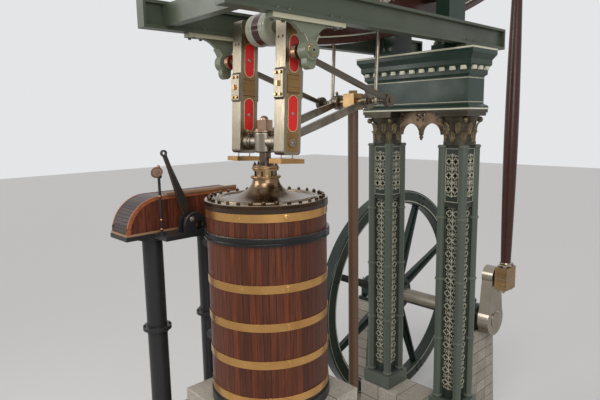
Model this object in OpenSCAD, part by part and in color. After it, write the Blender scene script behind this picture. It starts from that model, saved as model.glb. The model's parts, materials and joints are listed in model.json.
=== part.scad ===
// Rotative beam engine, shown at the bottom of its piston stroke.
// X runs along the beam from the cylinder's axis to the crank, Y across it, Z up.
// The origin is on the cylinder's axis, at the underside of the foundation.

/* [Levels] */
// Height of the engine floor above the underside of the foundation
floor_h = 7060; // [6900:20:7600]
// Thickness of the masonry raft under the whole engine
raft_h = 350; // [250:10:450]
// Gap between the flywheel and the raft below it
wheel_gap = 160; // [100:10:400]

/* [Motion] */
// Travel of the piston
stroke = 2286; // [2000:2:2500]
// Distance from the beam's centre to either end pin
half_beam = 3900; // [3700:10:4200]
// Length of a main link between its pins
link_len = 1525; // [1450:5:1600]
// Space left between the gland and the crosshead at the bottom of the stroke
crosshead_gap = 170; // [120:5:300]

/* [Across the engine] */
// Half the length of the crosshead's gudgeon
gudgeon_half = 258; // [230:2:260]
// Gap at a pivot that the coupled motion leaves open
open_gap = 7; // [5:1:12]
// Thickness of a parallel bar's eye
bar_eye_w = 95; // [80:1:98]
// Gap between neighbouring links and eyes
side_gap = 10; // [6:1:20]
// Width of a main link across the engine
link_w = 200; // [180:2:220]
// Thickness of a radius rod's eye
radius_w = 74; // [60:1:80]
// Space between the main links and the radius rods
radius_gap = 110; // [90:5:140]
// Width of the brackets that hold the radius rods' pins
bracket_w = 140; // [110:5:160]

/* [Beam] */
// Half the depth of the beam at its centre
beam_mid = 700; // [600:10:760]
// Half the depth of the beam at its end pins
beam_tip = 215; // [200:5:260]
// Thickness of the beam's web
beam_web = 90; // [70:5:120]
// Width of the beam's edge moulding
beam_edge_w = 260; // [200:10:300]
// Depth of the beam's edge moulding
beam_edge_h = 80; // [60:5:100]
// Length of the boss round an end pin
end_boss_w = 400; // [340:10:420]
// Radius of the trunnion in the beam's centre
trunnion_r = 130; // [110:5:150]
// Radius of the end pins of the beam
end_pin_r = 80; // [70:2:90]
// Radius of the pin at half of the beam's half length
back_pin_r = 55; // [45:1:62]

/* [Main links] */
// Depth of a main link along the engine
link_d = 300; // [270:5:330]
// Thickness of the link's steel strap
strap_t = 45; // [36:1:55]
// Height of the link's bronze middle block
block_h = 250; // [200:5:280]
// Height of the brasses round a link's pin
brass_h = 240; // [220:5:270]
// Radius of the pin through a link's lower end
low_pin_r = 70; // [60:1:78]
// Height of the cotter pad on the front and back of a link
pad_h = 410; // [360:10:440]
// Thickness of the cotter pad
pad_t = 28; // [20:1:36]
// Space between a link and its drip tray
tray_gap = 50; // [35:5:60]

/* [Parallel motion] */
// Radius of a parallel bar's eyes
bar_eye_r = 120; // [112:1:130]
// Thickness of a parallel bar between its eyes
bar_t = 55; // [45:1:60]
// Depth of a parallel bar at its middle
bar_d = 120; // [90:2:130]
// Radius of a back link's round rod
back_rod_r = 29; // [24:1:36]
// Width of a back link's forged head
back_head_w = 190; // [170:2:200]
// Radius of the cross pin at the back links' lower ends
cross_pin_r = 40; // [34:1:46]
// Radius of a radius rod's eyes
radius_eye_r = 105; // [95:1:115]
// Depth of a radius rod between its eyes
radius_rod_d = 80; // [60:2:100]
// Radius of the fixed pins of the radius rods
fixed_pin_r = 45; // [38:1:50]

/* [Crosshead] */
// Radius of the piston rod
rod_r = 82; // [74:1:90]
// Radius of the crosshead's boss, and half its height
boss_r = 145; // [135:1:160]
// Radius of the gudgeon between the boss and the parallel bars
gudgeon_r = 95; // [85:1:110]
// Width across the flats of the cap nut
cap_nut_w = 210; // [190:2:240]
// Height of the cap nut
cap_nut_h = 160; // [140:2:180]

/* [Cylinder] */
// Bore of the cylinder
bore_d = 1168; // [1060:2:1240]
// Radius of the cylinder's outer wall
barrel_r = 680; // [650:2:720]
// Width of the wooden lagging outside the wall
lagging_t = 170; // [150:2:190]
// Reach of the top flanges outside the lagging
flange_reach = 20; // [12:1:30]
// Reach of the ring where the lagging passes the floor
ring_reach = 40; // [30:1:60]
// Top of the cover's flange above the engine floor
cover_h = 530; // [500:2:580]
// Top of the gland above the cover's flange
gland_h = 450; // [430:2:480]
// Thickness of each of the two top flanges
flange_t = 55; // [45:1:60]
// Height of one lagging band
band_h = 110; // [90:2:120]
// Height of the ring at the floor
ring_h = 110; // [90:2:120]
// Depth of the piston
piston_t = 250; // [200:5:280]
// Space left above and below the piston
piston_space = 60; // [40:2:80]
// Thickness of the cylinder's bottom plate
bottom_t = 130; // [100:5:150]
// Nuts round the cover's flange
nut_count = 30; // [24:1:36]

/* [Steam side] */
// Left end of the wooden steam casing, in front of the cylinder's axis
casing_front = 1550; // [1400:10:1700]
// Length of the steam casing
casing_len = 1900; // [1700:10:2100]
// Width of the steam casing
casing_w = 490; // [420:10:560]
// Height of the steam casing, and radius of its rounded end
casing_h = 530; // [480:10:580]
// Space between the lagging and the steam casing
casing_gap = 350; // [320:10:420]
// Radius of the steam pipes to the cylinder
steam_pipe_r = 150; // [120:5:170]
// Length of the starting lever
lever_len = 1030; // [900:10:1100]
// Radius of the hand wheel
hand_wheel_r = 85; // [70:1:100]

/* [Flywheel and crank] */
// Radius of the flywheel
wheel_r = 3050; // [2800:10:3300]
// Depth of the flywheel's rim
rim_t = 380; // [300:5:420]
// Width of the flywheel's rim
rim_w = 330; // [280:5:360]
// Arms of the flywheel
arm_count = 8; // [6:1:10]
// Radius of the flywheel's hub
hub_r = 480; // [430:10:520]
// Length of the flywheel's hub
hub_w = 480; // [400:10:540]
// Distance of the flywheel from the middle of the beam
wheel_y = 3350; // [2000:50:3600]
// Radius of the crankshaft
shaft_r = 200; // [180:5:220]
// Radius of the crank pin
crank_pin_r = 110; // [95:5:120]
// Thickness of the crank
crank_t = 280; // [240:5:300]
// Half the width of the connecting rod's big end
big_end_half = 150; // [130:5:160]
// Length of a crankshaft bearing
bearing_w = 400; // [340:10:440]

/* [Columns and entablature] */
// Clear width between the columns
column_gap = 1040; // [1000:10:1200]
// Width of a column over its corner shafts
column_w = 560; // [480:10:600]
// Radius of a column's corner shafts
shaft_col_r = 75; // [60:1:90]
// Height of a capital
capital_h = 610; // [560:10:660]
// Height of the entablature
ent_h = 1030; // [950:10:1100]
// Half the width of the entablature's frieze
ent_core = 270; // [240:10:300]
// Height of the beam's centre above the entablature
pedestal_h = 1210; // [1150:10:1300]
// Height of the spring beams above the entablature
spring_gap = 70; // [50:5:100]
// Depth of a spring beam
spring_d = 360; // [300:10:400]
// Width of a spring beam's flanges
spring_w = 180; // [160:5:200]

/* [Pump] */
// Radius of the pump rod
pump_rod_r = 85; // [70:1:95]
// Radius outside the pump barrel
pump_barrel_r = 350; // [320:5:380]

/* [Fineness] */
// Facets of a full round
$fn = 64; // [32:4:96]

/* [Hidden] */

// Gap round a turning pin, and between seated round pieces
run = 0.5;
fit = 0.3;
// Overlap that lets a cut pass a face
over = 1;

// Clear spaces between the pieces across the engine, and the reach of a pier past its bearing
bracket_gap = 76;
crank_gap = 55;
pier_gap = 35;
hub_gap = 260;
pier_margin = 100;

// Places across the engine, from its middle
bar_in = gudgeon_half + open_gap;
bar_mid = bar_in + bar_eye_w / 2;
link_in = bar_in + bar_eye_w + side_gap;
link_mid = link_in + link_w / 2;
link_out = link_in + link_w;
back_mid = link_mid - side_gap;
radius_in = link_out + radius_gap;
bracket_in = radius_in + radius_w + bracket_gap;
spring_y = bracket_in + bracket_w / 2;
column_y = column_gap / 2 + column_w / 2;
pedestal_in = 430;
pedestal_w = 260;
crank_in = big_end_half + crank_gap;
near_bearing_y = crank_in + crank_t + pier_gap + pier_margin;
far_bearing_y = wheel_y + hub_w / 2 + hub_gap + pier_margin;

// Heights and places of the pins at rest, as [x, z]
half_stroke = stroke / 2;
swing = asin(half_stroke / half_beam);
reach = half_beam * cos(swing);
sway = (half_beam - reach) / 2;
link_tilt = asin(sway / link_len);
cover_z = floor_h + cover_h;
gland_z = cover_z + gland_h;
low_pin = [0, gland_z + crosshead_gap + boss_r];
beam_end = [sway, low_pin[1] + link_len * cos(link_tilt)];
trunnion = [reach + sway, beam_end[1] + half_stroke];
back_pin = [trunnion[0] - reach / 2, trunnion[1] - half_stroke / 2];
cross_pin = [back_pin[0] - sway, low_pin[1] + half_stroke / 2];
fixed_pin = [cross_pin[0] - reach / 2, cross_pin[1] + half_stroke / 2];
crank_end = [trunnion[0] + reach, trunnion[1] + half_stroke];
crank_centre = [crank_end[0], raft_h + wheel_gap + wheel_r];
crank_pin = crank_centre + [0, half_stroke];
conrod_len = crank_end[1] - crank_pin[1];

// Levels of the building parts, from the beam's centre down
ent_top_z = trunnion[1] - pedestal_h;
ent_low_z = ent_top_z - ent_h;
capital_z = ent_low_z - capital_h;
spring_low_z = ent_top_z + spring_gap;

// Levels inside the cylinder, from the cover down
piston_top_z = cover_z - 2 * flange_t - piston_space - stroke;
barrel_low_z = piston_top_z - piston_t - piston_space;
bottom_z = barrel_low_z - bottom_t;
lagging_r = barrel_r + lagging_t;
flange_r = lagging_r + flange_reach;
ring_r = lagging_r + ring_reach;

green_paint = [0.16, 0.21, 0.17];
column_green = [0.30, 0.33, 0.27];
gilt = [0.45, 0.36, 0.20];
steel = [0.72, 0.70, 0.66];
dark_steel = [0.30, 0.31, 0.30];
bronze = [0.62, 0.48, 0.25];
brass = [0.80, 0.62, 0.30];
mahogany = [0.32, 0.14, 0.08];
black_iron = [0.10, 0.10, 0.10];
beam_brown = [0.25, 0.12, 0.09];
panel_red = [0.75, 0.10, 0.10];
masonry = [0.55, 0.50, 0.44];

// Points of an arc in the order of its angles
function arc(c, r, a0, a1, n) =
    [for (i = [0:n]) c + r * [cos(a0 + (a1 - a0) * i / n), sin(a0 + (a1 - a0) * i / n)]];

// Extrudes an X and Z outline between two places across the engine
module across(y0, y1) {
    translate([0, y1, 0]) rotate([90, 0, 0]) linear_extrude(y1 - y0) children();
}

// A round bar across the engine
module pin_y(p, r, y0, y1) {
    translate([p[0], y0, p[1]]) rotate([-90, 0, 0]) cylinder(r = r, h = y1 - y0);
}

// A box between two corners
module block(low, high) {
    translate(low) cube(high - low);
}

// The piece and its mirror image on the other side of the engine
module both_sides() {
    mirror([0, 1, 0]) children();
    children();
}

// Turns and places a piece that is drawn round a pin
module at_pin(p, tilt = 0) {
    translate([p[0], 0, p[1]]) rotate([0, tilt, 0]) children();
}

// Foundation

raft_margin = 150;
plinth = 100;
casing_x = [-casing_front, casing_len - casing_front];
casing_y = [lagging_r + casing_gap, lagging_r + casing_gap + casing_w];
crank_foot_w = 1600;
crank_top_w = 1100;
bearing_h = shaft_r + 130;
crank_pier_z = crank_centre[1] - bearing_h;
column_drop = 3950;
chest_drop = 3650;
column_pier_z = floor_h - column_drop;
chest_pier_z = floor_h - chest_drop;

module foundation_raft() {
    low_y = -(column_y + column_w / 2 + plinth + raft_margin);
    high_y = casing_y[1] + raft_margin;
    far_y = far_bearing_y + bearing_w + pier_margin + raft_margin;
    low_x = casing_x[0] - raft_margin;
    crank_half = crank_foot_w / 2 + raft_margin;
    color(masonry) linear_extrude(raft_h) polygon([
        [low_x, low_y], [crank_centre[0] + crank_half, low_y], [crank_centre[0] + crank_half, far_y],
        [crank_centre[0] - crank_half, far_y], [crank_centre[0] - crank_half, high_y], [low_x, high_y]
    ]);
}

module foundation_piers() {
    cylinder_half = flange_r + 50;
    column_half = [column_w / 2 + plinth, column_y + column_w / 2 + plinth];
    color(masonry) {
        block([-cylinder_half, -cylinder_half, raft_h], [cylinder_half, cylinder_half, bottom_z]);
        block([trunnion[0] - column_half[0], -column_half[1], raft_h],
            [trunnion[0] + column_half[0], column_half[1], column_pier_z]);
        block([casing_x[0], casing_y[0], raft_h], [casing_x[1], casing_y[1], chest_pier_z]);
        for (y = [near_bearing_y, far_bearing_y]) across(y - pier_margin, y + bearing_w + pier_margin)
            polygon([
                [crank_centre[0] - crank_foot_w / 2, raft_h], [crank_centre[0] + crank_foot_w / 2, raft_h],
                [crank_centre[0] + crank_top_w / 2, crank_pier_z],
                [crank_centre[0] - crank_top_w / 2, crank_pier_z]
            ]);
    }
}

// Cylinder

module cylinder_bottom() {
    sump_r = bore_d / 2 - 100;
    color(black_iron) translate([0, 0, bottom_z]) difference() {
        cylinder(r = flange_r, h = bottom_t);
        translate([0, 0, bottom_t - piston_space]) cylinder(r = sump_r, h = piston_space + over);
    }
}

module cylinder_barrel() {
    color(steel) rotate_extrude() polygon([
        [bore_d / 2, barrel_low_z], [lagging_r, barrel_low_z], [lagging_r, barrel_low_z + flange_t],
        [barrel_r, barrel_low_z + flange_t], [barrel_r, cover_z - 2 * flange_t],
        [flange_r, cover_z - 2 * flange_t], [flange_r, cover_z - flange_t],
        [bore_d / 2, cover_z - flange_t]
    ]);
}

lagging_low_z = barrel_low_z + flange_t;
lagging_top_z = cover_z - 2 * flange_t;
low_bands = 4;
band_pitch = (floor_h - lagging_low_z - band_h) / low_bands;
module wood_lagging() {
    color(mahogany) rotate_extrude() translate([barrel_r + fit, lagging_low_z])
        square([lagging_t - fit, lagging_top_z - lagging_low_z]);
}

module lagging_bands() {
    band_t = 9;
    places = concat([lagging_top_z - band_h], [for (i = [0:low_bands - 1]) lagging_low_z + i * band_pitch]);
    color(brass) for (z = places)
        rotate_extrude() translate([lagging_r + fit, z]) square([band_t, band_h]);
}

module floor_ring() {
    lip_r = 12;
    color(black_iron) rotate_extrude() difference() {
        union() {
            translate([lagging_r + fit, floor_h]) square([ring_r - lagging_r - fit, ring_h - lip_r]);
            translate([lagging_r + fit, floor_h]) square([ring_r - lagging_r - fit - lip_r, ring_h]);
            translate([ring_r - lip_r, floor_h + ring_h - lip_r]) circle(r = lip_r);
        }
        translate([ring_r, floor_h + ring_h / 3]) circle(r = lip_r);
    }
}

bell_r = 620;
neck_r = rod_r + 103;
neck_h = gland_h - 190;
module cylinder_cover() {
    spigot_r = bore_d / 2 - 2;
    bead_r = 15;
    bell = [for (a = [0:6:90])
        [neck_r + (bell_r - neck_r) * (1 - sin(a)), cover_z + neck_h * (1 - cos(a))]];
    color(steel) rotate_extrude() difference() {
        union() {
            polygon(concat(
                [[0, cover_z - flange_t], [flange_r, cover_z - flange_t], [flange_r, cover_z - 10],
                 [flange_r - 10, cover_z], [bell_r, cover_z]],
                bell,
                [[neck_r, cover_z + neck_h], [0, cover_z + neck_h]]));
            for (r = [bell_r + 40, bell_r + 78]) translate([r, cover_z]) circle(r = bead_r);
            translate([0, cover_z - flange_t - 20]) square([spigot_r, 21]);
        }
        translate([-over, 0]) square([rod_r + run + over, cover_z + 2 * neck_h]);
    }
}

module cover_nuts() {
    nut_r = 30;
    nut_h = 30;
    stud_r = 13;
    stud_h = 44;
    circle_r = flange_r - 68;
    color(black_iron) for (i = [0:nut_count - 1]) rotate([0, 0, i * 360 / nut_count])
        translate([circle_r, 0, cover_z + fit]) {
            difference() {
                cylinder(r = nut_r, h = nut_h, $fn = 4);
                translate([0, 0, -over]) cylinder(r = stud_r, h = nut_h + 2 * over, $fn = 16);
            }
            cylinder(r = stud_r, h = stud_h, $fn = 16);
        }
}

module stuffing_box() {
    flange_w = neck_r + 15;
    collar_h = 40;
    recess_r = rod_r + 58;
    gland_t = 80;
    round_off = 14;
    low_z = cover_z + neck_h;
    color(bronze) rotate_extrude() polygon([
        [rod_r + run, low_z], [flange_w, low_z], [flange_w, low_z + collar_h],
        [recess_r, low_z + collar_h], [recess_r, gland_z - gland_t], [neck_r, gland_z - gland_t],
        [neck_r, gland_z - round_off], [neck_r - round_off, gland_z], [rod_r + run, gland_z]
    ]);
}

// Steam side, with the casing, its pipes and the starting gear

chest_h = 620;
chest_plate_t = 60;
plate_reach = 20;
pipe_y = (casing_y[0] + casing_y[1]) / 2;
pipe_x = [casing_x[0] + 500, casing_x[1] - 450];
lever_back = 830;
lever_pin_h = 200;
lever_gap = 290;
lever_pin = [casing_x[0] + lever_back, floor_h + lever_pin_h];
lever_y = casing_y[0] - lever_gap;
lever_t = 36;
lever_pin_r = 26;
cheek_t = 36;
cheek_gap = 52;
pillar_back = 470;
pillar_gap = 130;
wheel_foot = [casing_x[0] + pillar_back, casing_y[0] - pillar_gap];
module valve_chest() {
    plate_z = floor_h - chest_plate_t;
    chest_top_z = chest_pier_z + chest_h;
    arch_r = 185;
    arch = lever_pin + [55, -85];
    slot_r = 70;
    slot = arch + [slot_r, -20];
    front_y = lever_y - cheek_gap - cheek_t;
    port_z = [for (i = [0.5, low_bands - 0.5]) lagging_low_z + i * band_pitch + band_h / 2];
    color(black_iron) difference() {
        union() {
            block([casing_x[0] - plate_reach, casing_y[0] - plate_reach, plate_z],
                [casing_x[1] + plate_reach, casing_y[1] + plate_reach, floor_h]);
            block([wheel_foot[0] - 80, front_y - plate_reach, plate_z],
                [arch[0] + arch_r + plate_reach, casing_y[0], floor_h]);
            block([casing_x[0] + 100, casing_y[0] + 30, chest_pier_z],
                [casing_x[1] - 100, casing_y[1] - 30, chest_top_z]);
            for (x = pipe_x) translate([x, pipe_y, chest_top_z - over])
                cylinder(r = steam_pipe_r, h = plate_z - chest_top_z + 2 * over);
            for (z = port_z) translate([pipe_x[1], 0, z]) rotate([-90, 0, 0]) {
                cylinder(r = steam_pipe_r - 20, h = pipe_y);
                cylinder(r = steam_pipe_r + 30, h = lagging_r + 60);
            }
            for (y = [front_y, lever_y + cheek_gap]) across(y, y + cheek_t) difference() {
                union() {
                    translate(arch) circle(r = arch_r);
                    translate([arch[0] - arch_r, floor_h - over]) square([2 * arch_r, arch[1] - floor_h + over]);
                }
                translate(slot) circle(r = slot_r);
                translate([slot[0] - slot_r, floor_h + 40]) square([2 * slot_r, slot[1] - floor_h - 40]);
            }
            pin_y(lever_pin, lever_pin_r, front_y - 12, lever_y + cheek_gap + cheek_t + 12);
        }
        cylinder(r = lagging_r + fit, h = floor_h);
    }
}

module steam_casing() {
    color(mahogany) across(casing_y[0], casing_y[1]) polygon(concat(
        [[casing_x[1], floor_h], [casing_x[1], floor_h + casing_h]],
        arc([casing_x[0] + casing_h, floor_h], casing_h, 90, 180, 20)));
}

// Flat hand lever with an eye at its top, drawn upright round its pin
module starting_lever() {
    lean = 20;
    foot_w = 130;
    neck_w = 56;
    eye_r = 46;
    hub_r = 60;
    low_z = lever_len * 0.3;
    high_z = lever_len * 0.8;
    color(dark_steel) at_pin(lever_pin, -lean) difference() {
        union() {
            across(lever_y - lever_t / 2, lever_y + lever_t / 2) difference() {
                union() {
                    circle(r = foot_w / 2 + 15);
                    polygon([[-foot_w / 2, 0], [foot_w / 2, 0], [foot_w / 2, low_z], [neck_w / 2, high_z],
                        [neck_w / 2, lever_len], [-neck_w / 2, lever_len], [-neck_w / 2, high_z],
                        [-foot_w / 2, low_z]]);
                    translate([0, lever_len]) circle(r = eye_r);
                }
                translate([0, lever_len]) circle(r = eye_r / 2);
            }
            pin_y([0, 0], hub_r, lever_y - cheek_gap + 8, lever_y + cheek_gap - 8);
        }
        pin_y([0, 0], lever_pin_r + run, lever_y - cheek_gap, lever_y + cheek_gap);
    }
}

// Valve pillar on the floor plate, with the leaning hand wheel at its head
pillar_r = 20;
spindle_r = 12;
head_h = 850;
head_z = floor_h + head_h;
wheel_lean = [0, 60, 225];
head_half = 45;
module valve_pillar() {
    head_r = 34;
    color(black_iron) translate([wheel_foot[0], wheel_foot[1], 0]) difference() {
        union() {
            translate([0, 0, floor_h]) cylinder(r = 3 * pillar_r, h = pillar_r);
            translate([0, 0, floor_h]) cylinder(r = pillar_r, h = head_z - floor_h);
            translate([0, 0, head_z]) rotate(wheel_lean) translate([0, 0, -head_half])
                cylinder(r = head_r, h = 2 * head_half);
            translate([0, 0, head_z]) cylinder(r = pillar_r, h = 90);
        }
        translate([0, 0, head_z]) rotate(wheel_lean) translate([0, 0, -head_half - over])
            cylinder(r = spindle_r + run, h = 2 * (head_half + over));
    }
}

module hand_wheel() {
    wheel_off = 100;
    rim = 12;
    web_t = 8;
    end_t = 16;
    color(dark_steel) translate([wheel_foot[0], wheel_foot[1], head_z]) rotate(wheel_lean) union() {
        translate([0, 0, -head_half - end_t - 1]) cylinder(r = spindle_r, h = wheel_off + head_half + end_t);
        translate([0, 0, -head_half - end_t - 1]) cylinder(r = 2 * spindle_r, h = end_t);
        translate([0, 0, wheel_off]) rotate_extrude() translate([hand_wheel_r - rim, 0]) circle(r = rim, $fn = 24);
        translate([0, 0, wheel_off - web_t / 2]) cylinder(r = hand_wheel_r - rim, h = web_t);
        translate([0, 0, wheel_off - 2 * web_t]) cylinder(r = 2 * spindle_r, h = 4 * web_t);
    }
}

// Columns, arch and entablature

column_foot_h = 260;
module column() {
    place = column_w / 2 - shaft_col_r;
    core = place - 45;
    panel_t = 30;
    base_h = 90;
    head_h = 60;
    pierce_pitch = 250;
    pierce_off = (place - shaft_col_r) / 2;
    lobe_r = 30;
    lobe_off = 24;
    panel_low_z = floor_h + base_h;
    panel_top_z = capital_z - head_h;
    rows = floor((panel_top_z - panel_low_z) / pierce_pitch);
    first_z = (panel_top_z - panel_low_z - (rows - 1) * pierce_pitch) / 2;
    union() {
        for (x = [-place, place], y = [-place, place])
            translate([x, y, column_pier_z]) cylinder(r = shaft_col_r, h = capital_z - column_pier_z);
        block([-core, -core, column_pier_z], [core, core, capital_z]);
        block([-column_w / 2 - 40, -column_w / 2 - 40, column_pier_z],
            [column_w / 2 + 40, column_w / 2 + 40, column_pier_z + column_foot_h]);
        block([-place - panel_t / 2, -place - panel_t / 2, floor_h],
            [place + panel_t / 2, place + panel_t / 2, panel_low_z + over]);
        block([-place - panel_t / 2, -place - panel_t / 2, panel_top_z - over],
            [place + panel_t / 2, place + panel_t / 2, capital_z]);
        for (a = [0:90:270]) rotate([0, 0, a])
            translate([0, place + panel_t / 2, panel_low_z]) rotate([90, 0, 0])
            linear_extrude(panel_t) difference() {
                translate([-place, 0]) square([2 * place, panel_top_z - panel_low_z]);
                for (i = [0:rows - 1], x = [-pierce_off, pierce_off])
                    translate([x, first_z + i * pierce_pitch]) for (s = [0:90:270])
                        translate(lobe_off * [cos(s), sin(s)]) circle(r = lobe_r, $fn = 24);
            }
    }
}
module columns() {
    color(column_green) for (s = [-1, 1]) translate([trunnion[0], s * column_y, 0]) column();
}

abacus_reach = 60;
module capitals() {
    ring_h = 60;
    abacus_h = 110;
    bell_h = capital_h - ring_h - abacus_h;
    throat = column_w / 2 - 30;
    flare = 85;
    steps = [for (a = [0:6:90]) [throat + flare * (1 - cos(a)), bell_h * sin(a)]];
    color(gilt) both_sides() translate([trunnion[0], column_y, capital_z]) union() {
        cylinder(r = column_w / 2, h = ring_h);
        translate([0, 0, ring_h]) rotate_extrude() polygon(concat([[0, 0]], steps, [[0, bell_h]]));
        for (half = [column_w / 2 + abacus_reach - 20]) block([-half, -half, ring_h + bell_h],
            [half, half, capital_h - abacus_h / 2]);
        for (half = [column_w / 2 + abacus_reach]) block([-half, -half, capital_h - abacus_h / 2],
            [half, half, capital_h]);
    }
}

// Two pierced arches that meet in a pendant between the columns
module spandrel_arch() {
    half_span = column_gap / 2 - abacus_reach - fit;
    arch_h = capital_h - 170;
    arch_r = half_span / 2 - 18;
    thick = 90;
    pendant_r = 42;
    color(gilt) translate([trunnion[0], 0, 0]) union() {
        translate([-thick / 2, 0, 0]) rotate([90, 0, 90]) linear_extrude(thick) difference() {
            translate([-half_span, ent_low_z - arch_h]) square([2 * half_span, arch_h]);
            for (s = [-1, 1]) {
                translate([s * half_span / 2, ent_low_z - arch_h]) union() {
                    circle(r = arch_r);
                    translate([0, arch_r * 0.42]) rotate(45) square(arch_r * 0.82, center = true);
                }
                for (x = [0.13, 0.87], k = [0, 1]) translate([s * half_span * x, ent_low_z - 70 - k * 95])
                    circle(r = 34 - 8 * k, $fn = 24);
            }
            translate([0, ent_low_z - 120]) circle(r = 26, $fn = 24);
        }
        translate([0, 0, ent_low_z - arch_h - 110]) rotate_extrude() polygon([
            [0, 0], [16, 8], [pendant_r * 0.6, 34], [pendant_r, 62], [pendant_r * 0.6, 90],
            [pendant_r * 1.2, 112], [0, 114]
        ]);
    }
}

// Mouldings at the foot and at the cornice of the entablature, as [reach past the frieze, level]
foot_steps = [[60, 0], [60, 60], [0, 100]];
cornice_steps = [[0, -470], [40, -430], [40, -330], [90, -270], [90, -190], [150, -100], [150, 0]];
cornice_reach = 150;
end_reach = 160;
// One side of the entablature's outline, pushed out by a given amount
function ent_side(extra) = concat(
    [for (p = foot_steps) [ent_core + p[0] + extra, ent_low_z + p[1]]],
    [for (p = cornice_steps) [ent_core + p[0] + extra, ent_top_z + p[1]]]
);
module ent_section(extra) {
    side = ent_side(extra);
    last = len(side) - 1;
    polygon(concat(side, [for (i = [0:last]) [-side[last - i][0], side[last - i][1]]]));
}
module entablature() {
    half_y = column_y + column_w / 2 + end_reach;
    long = 2 * (half_y + cornice_reach);
    color(green_paint) translate([trunnion[0], 0, 0]) intersection() {
        translate([0, long / 2, 0]) rotate([90, 0, 0]) linear_extrude(long) ent_section(0);
        translate([-long / 2, 0, 0]) rotate([90, 0, 90]) linear_extrude(long)
            ent_section(half_y - ent_core - cornice_reach);
    }
}

// Trunnion bearings on the entablature

module trunnion_pedestals() {
    top_half = trunnion_r + 130;
    foot_half = top_half + 130;
    foot_h = 80;
    sweep_r = foot_half - top_half;
    y0 = pedestal_in;
    y1 = pedestal_in + pedestal_w;
    color(green_paint) both_sides() difference() {
        across(y0, y1) translate([trunnion[0], 0]) polygon(concat(
            [[-foot_half, ent_top_z], [foot_half, ent_top_z]],
            arc([foot_half, ent_top_z + foot_h + sweep_r], sweep_r, 270, 180, 8),
            [[top_half, trunnion[1]], [-top_half, trunnion[1]]],
            arc([-foot_half, ent_top_z + foot_h + sweep_r], sweep_r, 0, -90, 8)));
        pin_y(trunnion, trunnion_r + run, y0 - over, y1 + over);
    }
}

module trunnion_caps() {
    cap_half = trunnion_r + 100;
    cap_h = 110;
    wing_h = 60;
    y0 = pedestal_in + 10;
    y1 = pedestal_in + pedestal_w - 10;
    color(bronze) both_sides() difference() {
        across(y0, y1) translate(trunnion) polygon(concat(
            [[-cap_half, 0], [cap_half, 0], [cap_half, wing_h]],
            arc([0, 0], trunnion_r + cap_h, 20, 160, 16),
            [[-cap_half, wing_h]]));
        pin_y(trunnion, trunnion_r + run, y0 - over, y1 + over);
    }
}

// Spring beams and the brackets of the radius rods

spring_front = 1300;
spring_back = 1190;
spring_x = [fixed_pin[0] - spring_front, trunnion[0] + spring_back];
spring_flange = 42;
spring_web = 40;
module spring_beams() {
    tie_x = [spring_x[0] + 300, spring_x[0] + 450];
    foot_half = 200;
    end_t = 40;
    top_z = spring_low_z + spring_d;
    color(green_paint) union() {
        both_sides() union() {
            for (z = [spring_low_z, top_z - spring_flange])
                block([spring_x[0], spring_y - spring_w / 2, z],
                    [spring_x[1], spring_y + spring_w / 2, z + spring_flange]);
            block([spring_x[0], spring_y - spring_web / 2, spring_low_z],
                [spring_x[1], spring_y + spring_web / 2, top_z]);
            for (x = [spring_x[0], spring_x[1] - end_t]) block([x, spring_y - spring_w / 2, spring_low_z],
                [x + end_t, spring_y + spring_w / 2, top_z]);
            block([trunnion[0] - foot_half, spring_y - spring_w / 2, ent_top_z],
                [trunnion[0] + foot_half, spring_y + spring_w / 2, spring_low_z + over]);
        }
        block([tie_x[0], -spring_y, spring_low_z + spring_flange], [tie_x[1], spring_y, top_z - spring_flange]);
    }
}

bracket_top = spring_low_z - fixed_pin[1] - fit;
// Outline of a bracket, with its two curved horns, round the fixed pin
module bracket_outline(flange_h, horn_r, half_len, stem) {
    top = bracket_top;
    low = top - flange_h - horn_r;
    polygon(concat(
        [[half_len, top], [-half_len, top], [-half_len, top - flange_h]],
        arc([-horn_r - stem, low], horn_r, 90, 0, 12),
        arc([horn_r + stem, low], horn_r, 180, 90, 12),
        [[half_len, top - flange_h]]));
}

module radius_brackets() {
    flange_h = 60;
    stem = 55;
    half_len = 620;
    boss = fixed_pin_r + 80;
    drop = 150;
    drop_r = 80;
    rib = 34;
    web_in = 40;
    horn_r = bracket_top - flange_h + 40;
    y0 = bracket_in;
    y1 = bracket_in + bracket_w;
    color(column_green) both_sides() at_pin(fixed_pin) union() {
        difference() {
            union() {
                across(y0 + web_in, y1 - web_in) bracket_outline(flange_h, horn_r, half_len, stem);
                across(y0, y1) difference() {
                    bracket_outline(flange_h, horn_r, half_len, stem);
                    bracket_outline(flange_h + rib, horn_r, half_len + over, stem - rib);
                }
                across(y0, y1) translate([-half_len, bracket_top - flange_h])
                    square([2 * half_len, flange_h]);
                pin_y([0, 0], boss, y0, y1);
                pin_y([0, -drop], drop_r, y0 + web_in / 2, y1 - web_in / 2);
                across(y0 + web_in / 2, y1 - web_in / 2) translate([-drop_r, -drop])
                    square([2 * drop_r, drop]);
            }
            pin_y([0, 0], fixed_pin_r + fit, y0 - over, y1 + over);
        }
        pin_y([0, 0], fixed_pin_r, radius_in - 20, y1 + 30);
        pin_y([0, 0], fixed_pin_r + 22, y1 + fit, y1 + 24);
        difference() {
            pin_y([0, 0], fixed_pin_r + 25, radius_in + radius_w + 6, y0);
            pin_y([0, 0], fixed_pin_r, radius_in + radius_w, y0 + over);
        }
    }
}

// Pump

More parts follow.
